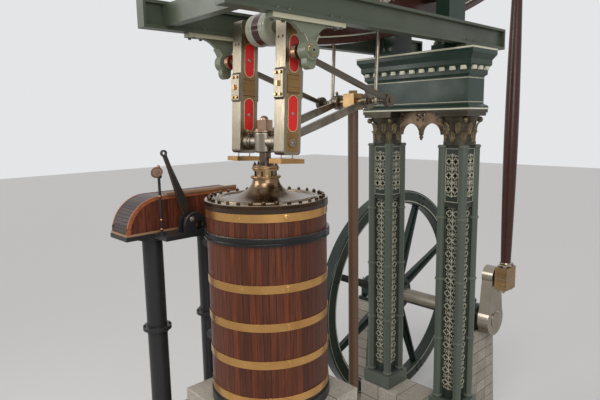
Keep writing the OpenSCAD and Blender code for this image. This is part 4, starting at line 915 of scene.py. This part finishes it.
# The spring beams, two long iron girders that carry the radius rods' brackets, in mid green paint.
# Bolts hold the brackets' flanges and the cross tie to them.
girder_green = cast_paint("girder_green", (0.058, 0.070, 0.046), 0.36, peel=0.25)
paint_nodes(girder_green, "spring_beams")
brackets_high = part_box("radius_brackets")[1]
girders_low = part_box("spring_beams")[0]
fixed_pin = pins["radius_rod_swing"]
bracket_mid = brackets_high.y - 0.10
girder_flange = 0.042
flange_h = 0.060
tie_h = 0.070
girder_bolts = bmesh.new()
for side in (-1, 1):
    for x in (-0.45, 0.45):
        seat = moved(fixed_pin.x + x, side * bracket_mid, brackets_high.z)
        above, below = seat @ moved(0, 0, girder_flange), seat @ moved(0, 0, -flange_h) @ turned(180, "X")
        four_nuts(girder_bolts, above, 0.090, 0.058, 0.040, 0.026, 0.012, 0.014)
        four_nuts(girder_bolts, below, 0.090, 0.058, 0.040, 0.020)
    tie = moved(trunnion.x, side * bracket_mid, girders_low.z + tie_h + girder_flange)
    four_nuts(girder_bolts, tie, 0.120, 0.055, 0.046, 0.030, 0.014, 0.016)
finish_piece("girder_bolts", girder_bolts, "root", girder_green)

# The brackets under them that hold the fixed pins of the radius rods, castings in grey-green paint.
# The flat edges of their ribs are picked out in cream as a painted highlight, and each pin has a bronze bush
# and a nut.
bracket_faces = (brackets_high.y - 0.17, brackets_high.y - 0.03)
bracket_boss_r = 0.128


def rib_edge_highlight(paint):
    """A painted highlight in cream on the flat edges of the ribs, but not round the pin."""
    depth = paint.maths("ABSOLUTE", paint.split(paint.place)["Y"])
    near = [paint.maths("LESS_THAN", paint.maths("ABSOLUTE", paint.maths("SUBTRACT", depth, y)), 0.002)
            for y in bracket_faces]
    reach = paint.squared_reach("XZ", (fixed_pin.x, fixed_pin.z))
    clear = paint.maths("GREATER_THAN", reach, bracket_boss_r ** 2)
    paint.lay(paint.maths("MULTIPLY", paint.maths("MAXIMUM", *near), clear), (0.40, 0.38, 0.27))


paint_nodes(cast_paint("bracket_grey_green", (0.150, 0.165, 0.112), 0.34, peel=0.25, trim=rib_edge_highlight),
            "radius_brackets")
pin_fittings = bmesh.new()
for side in (-1, 1):
    at = moved(fixed_pin.x, side * bracket_faces[1], fixed_pin.z) @ outward(side)
    turn_profile(pin_fittings, ((0.066, 0), (0.078, 0), (0.078, 0.010), (0.074, 0.014), (0.066, 0.014)),
                 at, 40)
    add_nut(pin_fittings, at @ moved(0, 0, 0.004), 0.088, 0.020, 0.02, 0.006)
bush_bronze = wiped_brass("bush_bronze", (0.52, 0.31, 0.14), 0.24)
finish_piece("radius_pin_fittings", pin_fittings, "root", bush_bronze, smooth=35)

# The piston rod and its crosshead: a turned boss with the gudgeon through it and a cap nut on top.
# The rod is dark with oil and with a painted reflection of dark surroundings, the crosshead satin
# grey-brown, and the cap nut has gone copper red.
low_pin = pins["parallel_bar_swing"]
boss_r = 0.145
boss_top = moved(low_pin + Vector((0, 0, boss_r)))
nut_copper = (0.50, 0.325, 0.225)
# The rod's dark colour is partly oil and partly a painted reflection of dark surroundings.
paint_nodes(turned_metal("rod_steel", (0.150, 0.118, 0.092), 0.2, marks=0.12, film=(0.085, 0.062, 0.046)),
            "piston", "piston_rod")
crosshead_steel = turned_metal("crosshead_steel", (0.285, 0.250, 0.205), 0.27, film=(0.165, 0.135, 0.10),
                               zones=(("height", low_pin.z + boss_r, low_pin.z + 1.0, nut_copper),))
paint_nodes(crosshead_steel, "crosshead")
nut_plate = bmesh.new()
turn_profile(nut_plate, ((0.10, -0.004), (0.150, -0.004), (0.154, 0.0), (0.154, 0.012), (0.150, 0.016),
                         (0.10, 0.016)), boss_top, 48)
for x in (-0.132, 0.132):
    add_nut(nut_plate, boss_top @ moved(x, 0, 0.014), 0.034, 0.022, 0.009, 0.012)
finish_piece("crosshead_nut_plate", nut_plate, "piston_set", crosshead_steel, smooth=35)

# The beam, a casting nearly eight metres long with a moulded edge and a rib along its middle, in dark
# red-brown gloss. Cream lines follow its web; the bosses of its end pins are grey-green with turned rings.
crank_end = pins["connecting_rod_swing"]
beam_end = pins["main_link_swing"]
half_beam = (crank_end - trunnion).length
swing = math.degrees(math.asin((crank_end.z - trunnion.z) / half_beam))
beam_place = moved(trunnion) @ turned(-swing, "Y")
beam_tip = 0.215
beam_mid = 0.700
beam_web_half = 0.045
end_boss_half = 0.200
line_in = 0.115
rib_line = 0.080
line_w = 0.022
line_y = beam_web_half + 0.0015
line_reach = half_beam - 0.42


def end_bosses(paint):
    """Grey-green on the bosses of the two end pins, where they stand out from the web."""
    beyond_web = paint.maths("GREATER_THAN", paint.maths("ABSOLUTE", paint.split(paint.place)["Y"]), 0.07)
    for end in (beam_end, crank_end):
        near = paint.maths("LESS_THAN", paint.squared_reach("XZ", (end.x, end.z)), 0.225 ** 2)
        paint.lay(paint.maths("MULTIPLY", near, beyond_web), (0.30, 0.315, 0.235))


beam_gloss = {"colour": (0.052, 0.019, 0.014), "roughness": 0.24, "peel": 0.2, "dust": 0.05}
beam_brown = cast_paint("beam_red_brown", **beam_gloss)
pin_steel = turned_metal("pin_steel", (0.42, 0.38, 0.32), 0.24, axis="Y", middle=(trunnion.x, trunnion.z))
paint_nodes(cast_paint("beam_and_bosses", trim=end_bosses, **beam_gloss), "beam")
paint_nodes(pin_steel, "beam_pins")
beam_lines = bmesh.new()
for y, up, along_edge in product((-line_y, line_y), (-1, 1), (True, False)):
    for vert in bmesh.ops.create_grid(beam_lines, x_segments=48, y_segments=1, size=1)["verts"]:
        x = vert.co.x * line_reach
        edge = beam_tip + (beam_mid - beam_tip) * (1 - (x / half_beam) ** 2) - line_in
        z = (edge if along_edge else rib_line) + vert.co.y * line_w / 2
        vert.co = beam_place @ Vector((x, y, up * z))
bmesh.ops.solidify(beam_lines, geom=beam_lines.faces[:], thickness=0.003)
finish_piece("beam_lining", beam_lines, "beam_set", cream)
boss_rings = bmesh.new()
for x, radius, half in ((-half_beam, beam_tip, end_boss_half), (half_beam, beam_tip, end_boss_half),
                        (0, 0.320, 0.340), (-half_beam / 2, 0.165, 0.260)):
    for side in (-1, 1):
        at = beam_place @ moved(x, side * half, 0) @ outward(side)
        turn_profile(boss_rings, ((radius - 0.034, -0.002), (radius - 0.030, 0.006), (radius - 0.012, 0.006),
                                  (radius - 0.010, -0.002)), at, 48)
        if x == -half_beam:
            turn_profile(boss_rings, mirrored((radius + 0.007, 0.009), (radius - 0.001, 0.015)),
                         at @ moved(0, 0, -0.060), 64)
ring_paint = cast_paint("boss_grey_green", (0.36, 0.37, 0.285), 0.3, peel=0.1)
finish_piece("beam_boss_rings", boss_rings, "beam_set", ring_paint, smooth=40)
rib_nuts = bmesh.new()
for x, side, up in product((-3.05, -2.55, -1.10, -0.62, 0.62, 1.10, 2.0, 2.55, 3.05), (-1, 1), (-1, 1)):
    at = beam_place @ moved(x, side * beam_web_half, up * 0.085) @ outward(side)
    add_nut(rib_nuts, at, 0.042, 0.020, 0.010, 0.012)
finish_piece("beam_rib_nuts", rib_nuts, "beam_set", beam_brown)

# The main links: a bright forged strap round bronze fillers, with red panels let into the faces.
# A bronze block fills the middle, cotter pads stand on the edges, and brass set bolts hold them.


def filed_metal(name, colour, roughness, stretch, film=(0.20, 0.155, 0.10)):
    """Metal with the long marks of a file, and a cloudy film of old oil."""
    metal = Surface(name, colour, Metallic=1.0)
    lines = metal.noise(6.0, 5, stretch)
    metal.lay(metal.maths("MULTIPLY", metal.spread(metal.noise(2.4, 6), 0.38, 0.7), 0.55), film)
    metal.lay(metal.spread(lines, 0.35, 0.65, 0, 0.3), darker(colour, 0.6))
    rough = metal.spread(lines, 0.3, 0.7, roughness - 0.04, roughness + 0.14)
    return metal.finish(rough, lines, 0.25, 0.0008, 0.005)


link_steel = filed_metal("link_steel", (0.29, 0.255, 0.195), 0.3, (14, 14, 0.7), (0.165, 0.13, 0.085))
link_bronze = filed_metal("link_bronze", (0.34, 0.205, 0.082), 0.3, (10, 10, 1.0), (0.15, 0.082, 0.032))
panel_red = cast_paint("panel_red", (0.62, 0.014, 0.010), 0.3, peel=0.08, edge=0.002, dust=0.0)
tray_brass = wiped_brass("tray_brass", (0.46, 0.265, 0.10), 0.26, tarnish=(0.20, 0.10, 0.04))
paint_nodes(link_steel, "link_straps")
paint_nodes(link_bronze, "link_brasses", "link_fillers")
paint_nodes(panel_red, "link_panels")
paint_nodes(tray_brass, "drip_trays")
link_len = (beam_end - low_pin).length
tilt = math.degrees(math.asin((beam_end.x - low_pin.x) / link_len))
link_place = moved(beam_end) @ turned(tilt, "Y")
link_in = 0.370
link_w = 0.200
link_y = link_in + link_w / 2
link_d = 0.300
strap_t = 0.045
window = link_d / 2 - strap_t
brass_h = 0.240
block_h = 0.250
block_proud = 0.012
block_mid = -link_len / 2
pad_t = 0.028
filler_h = (link_len - brass_h - block_h) / 2
filler_mids = (-(brass_h + filler_h) / 2, -link_len + (brass_h + filler_h) / 2)
bead_out = window - 0.017
bead_in = window - 0.026
bead_h = 0.005
panel_half = filler_h / 2 - 0.002 - window


def face_places(x, z):
    """Places on the four flat faces of the links with Z outwards, and whether a face is an outer one."""
    for side, outer in product((-1, 1), (False, True)):
        spot = moved(x, side * (link_in + outer * link_w), z)
        yield link_place @ spot @ outward(side if outer else -side), outer


beads = bmesh.new()
screws = bmesh.new()
for mid in filler_mids:
    for place, _ in face_places(0, mid):
        ring = bmesh.ops.create_circle(beads, cap_ends=False, segments=40, radius=bead_out)["verts"]
        rail = bmesh.ops.extrude_edge_only(beads, edges=list({e for v in ring for e in v.link_edges}))["geom"]
        inner = [v for v in rail if isinstance(v, bmesh.types.BMVert)]
        bmesh.ops.scale(beads, verts=inner, vec=[bead_in / bead_out] * 3)
        top = extrude(beads, list({f for v in ring for f in v.link_faces}), (0, 0, bead_h))
        for vert in ring + inner + top:
            vert.co.y += math.copysign(panel_half, vert.co.y)
            vert.co = place @ (vert.co - Vector((0, 0, 0.003)))
        turn_profile(screws, ((0, 0.010), (0.010, 0.009), (0.014, 0.003), (0.022, 0.002), (0.024, 0)),
                     place, 20)
    for x, z in product((0.012 - window, window - 0.012), (0.020 - filler_h / 2, filler_h / 2 - 0.020)):
        for place, _ in face_places(x, mid + z):
            turn_profile(screws, ((0, 0.004), (0.005, 0.0035), (0.008, 0)), place, 10)
panel_edge = wiped_brass("panel_edge", (0.66, 0.55, 0.36), 0.26, tarnish=(0.40, 0.30, 0.17))
finish_piece("panel_beads", beads, "main_links", panel_edge)
finish_piece("panel_screws", screws, "main_links", oiled_steel)
set_bolts = bmesh.new()
joints = bmesh.new()
for side, edge in product((-1, 1), (-1, 1)):
    pad = link_place @ moved(edge * (link_d / 2 + pad_t), side * link_y, block_mid) @ turned(90 * edge, "Y")
    four_nuts(set_bolts, pad, 0.140, 0.045, 0.040, 0.022)
    add_block(set_bolts, (-0.035, -0.016, -0.004), (0.035, 0.016, 0.034), 0.004, 2, pad)
    for y in (-0.040, 0.040):
        plug = moved(edge * link_d / 2, side * link_y + y, -brass_h / 2 - 0.05) @ turned(90 * edge, "Y")
        turn_profile(joints, ((0, 0.001), (0.016, 0.001), (0.018, -0.001)), link_place @ plug, 12)
for z, height in ((-0.111, 0.010), (0.055, 0.003), (-0.045, 0.003), (0.109, 0.006)):
    for place, outer in face_places(0, block_mid + z):
        lift = block_proud if outer else 0
        add_block(joints, (-window, -height / 2, lift), (window, height / 2, lift + 0.001), place=place)
finish_piece("pad_set_bolts", set_bolts, "main_links", bush_bronze)
dark_joint = cast_paint("dark_joint", (0.030, 0.022, 0.015), 0.6, peel=0.1, dust=0.0)
finish_piece("block_joints", joints, "main_links", dark_joint)
pin_keeps = bmesh.new()
for z, radius in ((0, 0.080), (-link_len, 0.070)):
    for place in (place for place, outer in face_places(0, z) if outer):
        turn_profile(pin_keeps, ((0, 0.016), (radius * 0.25, 0.016), (radius * 0.3, 0.012),
                                 (radius * 0.8, 0.012), (radius * 0.9, 0.006), (radius, 0.0065)), place, 40)
        for i in range(4):
            add_nut(pin_keeps, place @ turned(90 * i) @ moved(radius * 0.55, 0, 0.010), 0.020, 0.010)
finish_piece("link_pin_keeps", pin_keeps, "main_links", oiled_steel, smooth=35)

# The parallel bars, back links and radius rods: bright and dark steel forgings of the parallel motion.
# Brass oil cups stand on the bars' eyes, and the eyes of the radius rods are wiped to a warm brown.
paint_nodes(dark_forging("bar_steel", (0.205, 0.175, 0.135), (0.52, 0.46, 0.37), 0.28), "parallel_bars")
paint_nodes(filed_metal("back_link_steel", (0.30, 0.265, 0.21), 0.28, (12, 12, 0.8)), "back_links")
rod_eye = ("radius", 0, 0.125, (0.33, 0.185, 0.105))
paint_nodes(turned_metal("radius_rod_steel", (0.135, 0.116, 0.092), 0.3, (fixed_pin.x, fixed_pin.z), "Y",
                         film=(0.075, 0.060, 0.045), zones=(rod_eye,)), "radius_rods")
bar_y = 0.3125
bar_cup_z = 0.156
bar_cups = bmesh.new()
for side, x in product((-1, 1), (0, half_beam / 2)):
    eye_top = moved(low_pin) @ turned(-swing, "Y") @ moved(x, side * bar_y, bar_cup_z)
    turn_profile(bar_cups, ((0, 0), (0.024, 0), (0.026, 0.004), (0.026, 0.014), (0.020, 0.020),
                            (0.007, 0.024), (0.006, 0.032), (0, 0.034)), eye_top, 20)
finish_piece("bar_oil_cups", bar_cups, "parallel_motion", cup_brass, smooth=40)

# The pump rod hangs from a bronze block on the parallel motion, down into the black pump barrel.
# The barrel's flanges are bolted all round, and a bronze gland closes its neck.
paint_nodes(cast_paint("pump_rod_brown", (0.110, 0.062, 0.036), 0.35, peel=0.2), "pump_rod")
paint_nodes(cap_bronze, "pump_crosshead")
paint_nodes(black_paint, "pump_barrel")
pump_low, pump_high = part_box("pump_barrel")
pump_x = (pump_low.x + pump_high.x) / 2
bolt_circle = (pump_high.x - pump_low.x) / 2 - 0.042
pump_top = pump_high.z - 0.16
pump_bolts = bmesh.new()
for (z, facing), i in product(((pump_top, 0), (pump_top - 0.12, 180), (pump_low.z + 0.06, 0)), range(16)):
    angle = math.pi / 8 * i
    spot = moved(pump_x + bolt_circle * math.cos(angle), bolt_circle * math.sin(angle), z)
    add_nut(pump_bolts, spot @ turned(facing, "X"), 0.044, 0.026, 0.011, 0.012)
turn_profile(pump_bolts, ((0.088, 0), (0.150, 0), (0.156, 0.006), (0.156, 0.030), (0.150, 0.036),
                          (0.120, 0.040), (0.114, 0.060), (0.088, 0.062)),
             moved(pump_x, 0, pump_high.z - 0.002), 48, closed=True)
finish_piece("pump_bolts_and_gland", pump_bolts, "root", cap_bronze, smooth=35)

# The connecting rod, fish-bellied and forked over the beam's end, with a bronze big end on the crank
# pin. Turned collars finish the rod's ends, and four bolts draw the big end together.
paint_nodes(beam_brown, "connecting_rod")
paint_nodes(cap_bronze, "conrod_brasses")
brasses_low, brasses_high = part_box("conrod_brasses")
crank_pin_z = (brasses_low.z + brasses_high.z) / 2
big_end_bolts = bmesh.new()
for z, facing in ((brasses_low.z, 180), (brasses_high.z, 0)):
    four_nuts(big_end_bolts, moved(crank_centre.x, 0, z) @ turned(facing, "X"),
              0.205, 0.070, 0.070, 0.050, 0.020, 0.020)
add_block(big_end_bolts, (brasses_low.x - 0.001, brasses_low.y - 0.001, crank_pin_z - 0.004),
          (brasses_high.x + 0.001, brasses_high.y + 0.001, crank_pin_z + 0.004))
finish_piece("big_end_bolts", big_end_bolts, "connecting_set", oiled_steel)
collars = bmesh.new()
for z, radius in ((brasses_high.z + 0.055, 0.120), (crank_end.z - 0.805, 0.118)):
    turn_profile(collars, ((radius - 0.015, -0.050), (radius + 0.020, -0.046), (radius + 0.030, -0.030),
                           (radius + 0.014, -0.016), (radius + 0.014, 0.016), (radius + 0.026, 0.030),
                           (radius + 0.016, 0.046), (radius - 0.015, 0.050)), moved(crank_centre.x, 0, z), 48)
finish_piece("rod_collars", collars, "connecting_set", pin_steel, smooth=45)

# The crank and its shaft, forged and turned bright, running in two green plummer blocks whose caps
# are held by bolts and have brass oil cups on them. Two keys hold the crank on the shaft.
shaft_line = {"axis": "Y", "middle": (crank_centre.x, crank_centre.z)}
paint_nodes(turned_metal("crank_steel", (0.36, 0.32, 0.265), 0.28, **shaft_line), "crank")
paint_nodes(turned_metal("shaft_steel", (0.34, 0.305, 0.25), 0.34, **shaft_line), "crankshaft")
paint_nodes(green_gloss, "crank_bearings")
cap_r = 0.310
cap_bolt_h = 0.250
foot_h = 0.090
bolt_y = 0.3 * bearing_w
block_bolts = bmesh.new()
block_cups = bmesh.new()
for y0 in bearing_y:
    block = moved(crank_centre.x, y0 + bearing_w / 2, crank_centre.z)
    foot = moved(0, 0, bearings_low.z + foot_h - crank_centre.z)
    four_nuts(block_bolts, block @ moved(0, 0, cap_bolt_h), 0.310, bolt_y, 0.086, 0.050, 0.024, 0.030)
    four_nuts(block_bolts, block @ foot, 0.395, bolt_y, 0.080, 0.046, 0.022, 0.030)
    turn_profile(block_cups, cup_profile, block @ moved(0, 0, cap_r))
finish_piece("bearing_bolts", block_bolts, "root", oiled_steel)
finish_piece("bearing_oil_cups", block_cups, "root", cup_brass, smooth=45)
key_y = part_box("crank")[1].y - 0.285
keys = bmesh.new()
for angle in (0.9, 2.24):
    add_block(keys, (0.185, -0.035, -0.026), (0.225, 0.10, 0.026), 0.003,
              place=moved(crank_centre.x, key_y, crank_centre.z) @ Matrix.Rotation(-angle, 4, "Y"))
finish_piece("crank_keys", keys, "flywheel_set", oiled_steel)

# The flywheel: a cast rim in segments with joint plates at the arms, eight arms of cross section and a
# heavy hub, in black-green gloss with a pale line round the inner edge of the rim on both faces.
rim_low, rim_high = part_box("flywheel_rim")
rim_half = (rim_high.y - rim_low.y) / 2
wheel_r = rim_high.z - crank_centre.z
rim_t = 0.38
hub_half = 0.240
arm_count = 8
arm_bolt_r = 0.345
plate_t = 0.018
wheel_paint = cast_paint("wheel_black_green", (0.018, 0.030, 0.022), 0.26, peel=0.2, dust=0.04)
paint_nodes(wheel_paint, "flywheel_rim", "flywheel_arms")
rim_plates = bmesh.new()
rim_lines = bmesh.new()
hub = moved(crank_centre.x, rim_high.y - rim_half, crank_centre.z)
for side in (-1, 1):
    rim_face = moved(0, side * rim_half, 0) @ outward(side)
    hub_face = moved(0, side * hub_half, 0) @ outward(side)
    for i in range(arm_count):
        between = hub @ turned(360 * (i + 0.5) / arm_count, "Y") @ moved(wheel_r - rim_t / 2, 0, 0)
        at = between @ rim_face @ moved(0, 0, -0.012)
        add_block(rim_plates, (-0.13, -0.16, 0), (0.13, 0.16, plate_t), 0.005, place=at)
        four_nuts(rim_plates, at @ moved(0, 0, plate_t), 0.080, 0.110, 0.056, 0.026)
        arm = hub @ turned(360 * i / arm_count, "Y") @ moved(arm_bolt_r, 0, 0)
        add_nut(rim_plates, arm @ hub_face, 0.070, 0.040, 0.018, 0.016)
    for radius, wide in ((wheel_r - rim_t + 0.060, 0.016), (wheel_r - 0.050, 0.006)):
        turn_profile(rim_lines, ((radius - wide, -0.002), (radius - wide, 0.002), (radius + wide, 0.002),
                                 (radius + wide, -0.002)), hub @ rim_face, 128)
    for radius in (0.440, 0.255):
        turn_profile(rim_plates, ((radius - 0.020, -0.003), (radius - 0.014, 0.010), (radius + 0.014, 0.010),
                                  (radius + 0.020, -0.003)), hub @ hub_face, 64)
finish_piece("wheel_joint_plates", rim_plates, "flywheel_set", wheel_paint)
wheel_line = cast_paint("wheel_lining", (0.42, 0.43, 0.33), 0.35, peel=0.1, dust=0.0)
finish_piece("wheel_lines", rim_lines, "flywheel_set", wheel_line)

# The pale studio floor with the background behind it, the lights and the camera.
floor = bmesh.new()
bmesh.ops.create_grid(floor, x_segments=1, y_segments=1, size=90)
pale_floor = Surface("pale_floor", Base_Color=(0.70, 0.69, 0.675, 1), Roughness=0.9, Specular_IOR_Level=0.2)
add_mesh("studio_floor", floor, pale_floor.material)
world = bpy.data.worlds.new("studio_world")
bpy.context.scene.world = world
world.use_nodes = True
sky = Nodes(world.node_tree)
rays = sky.add("LightPath", {})
seen = sky.maths("MAXIMUM", rays["Is Camera Ray"], rays["Is Glossy Ray"])
seen = sky.maths("MAXIMUM", seen, rays["Is Transmission Ray"])
background = sky.tree.nodes["Background"].inputs
background["Color"].default_value = (0.97, 0.98, 1.0, 1)
sky.tree.links.new(sky.spread(seen, 0, 1, 0.50, 0.80), background["Strength"])


def add_light(name, kind, place, target, power, colour, **settings):
    lamp = bpy.data.lights.new(name, kind)
    lamp.energy = power
    lamp.color = colour
    for key, value in settings.items():
        setattr(lamp, key, value)
    made = add_object(name, lamp)
    made.location = place
    made.rotation_euler = (Vector(target) - Vector(place)).to_track_quat("-Z", "Y").to_euler()


add_light("high_window", "SUN", (-9, -7, 19), (1, 0, floor_z), 1.1, (1.0, 0.985, 0.955),
          angle=math.radians(28))
add_light("left_window", "AREA", (-8, 6, floor_z + 5), (1, 0, floor_z + 1.5), 620, (1.0, 0.985, 0.95),
          shape="RECTANGLE", size=6, size_y=6)
add_light("front_light", "AREA", (-5, -11, floor_z + 4), (2, 0, floor_z + 1), 520, (1, 1, 1),
          shape="RECTANGLE", size=7, size_y=6)
eye_height = 1.583
azimuth = math.radians(47.01)
pitch = math.radians(8.66)
camera_roll = -1.0
forward = Vector((math.cos(azimuth) * math.cos(pitch), math.sin(azimuth) * math.cos(pitch), -math.sin(pitch)))
camera = add_object("camera", bpy.data.cameras.new("camera"))
camera.data.sensor_width = 36
camera.data.lens = 31.3
camera.data.clip_end = 300
camera.matrix_world = (moved(-4.644, -5.681, floor_z + eye_height)
                       @ forward.to_track_quat("-Z", "Y").to_matrix().to_4x4() @ turned(camera_roll))
bpy.context.scene.camera = camera
bpy.context.scene.view_settings.view_transform = "Standard"
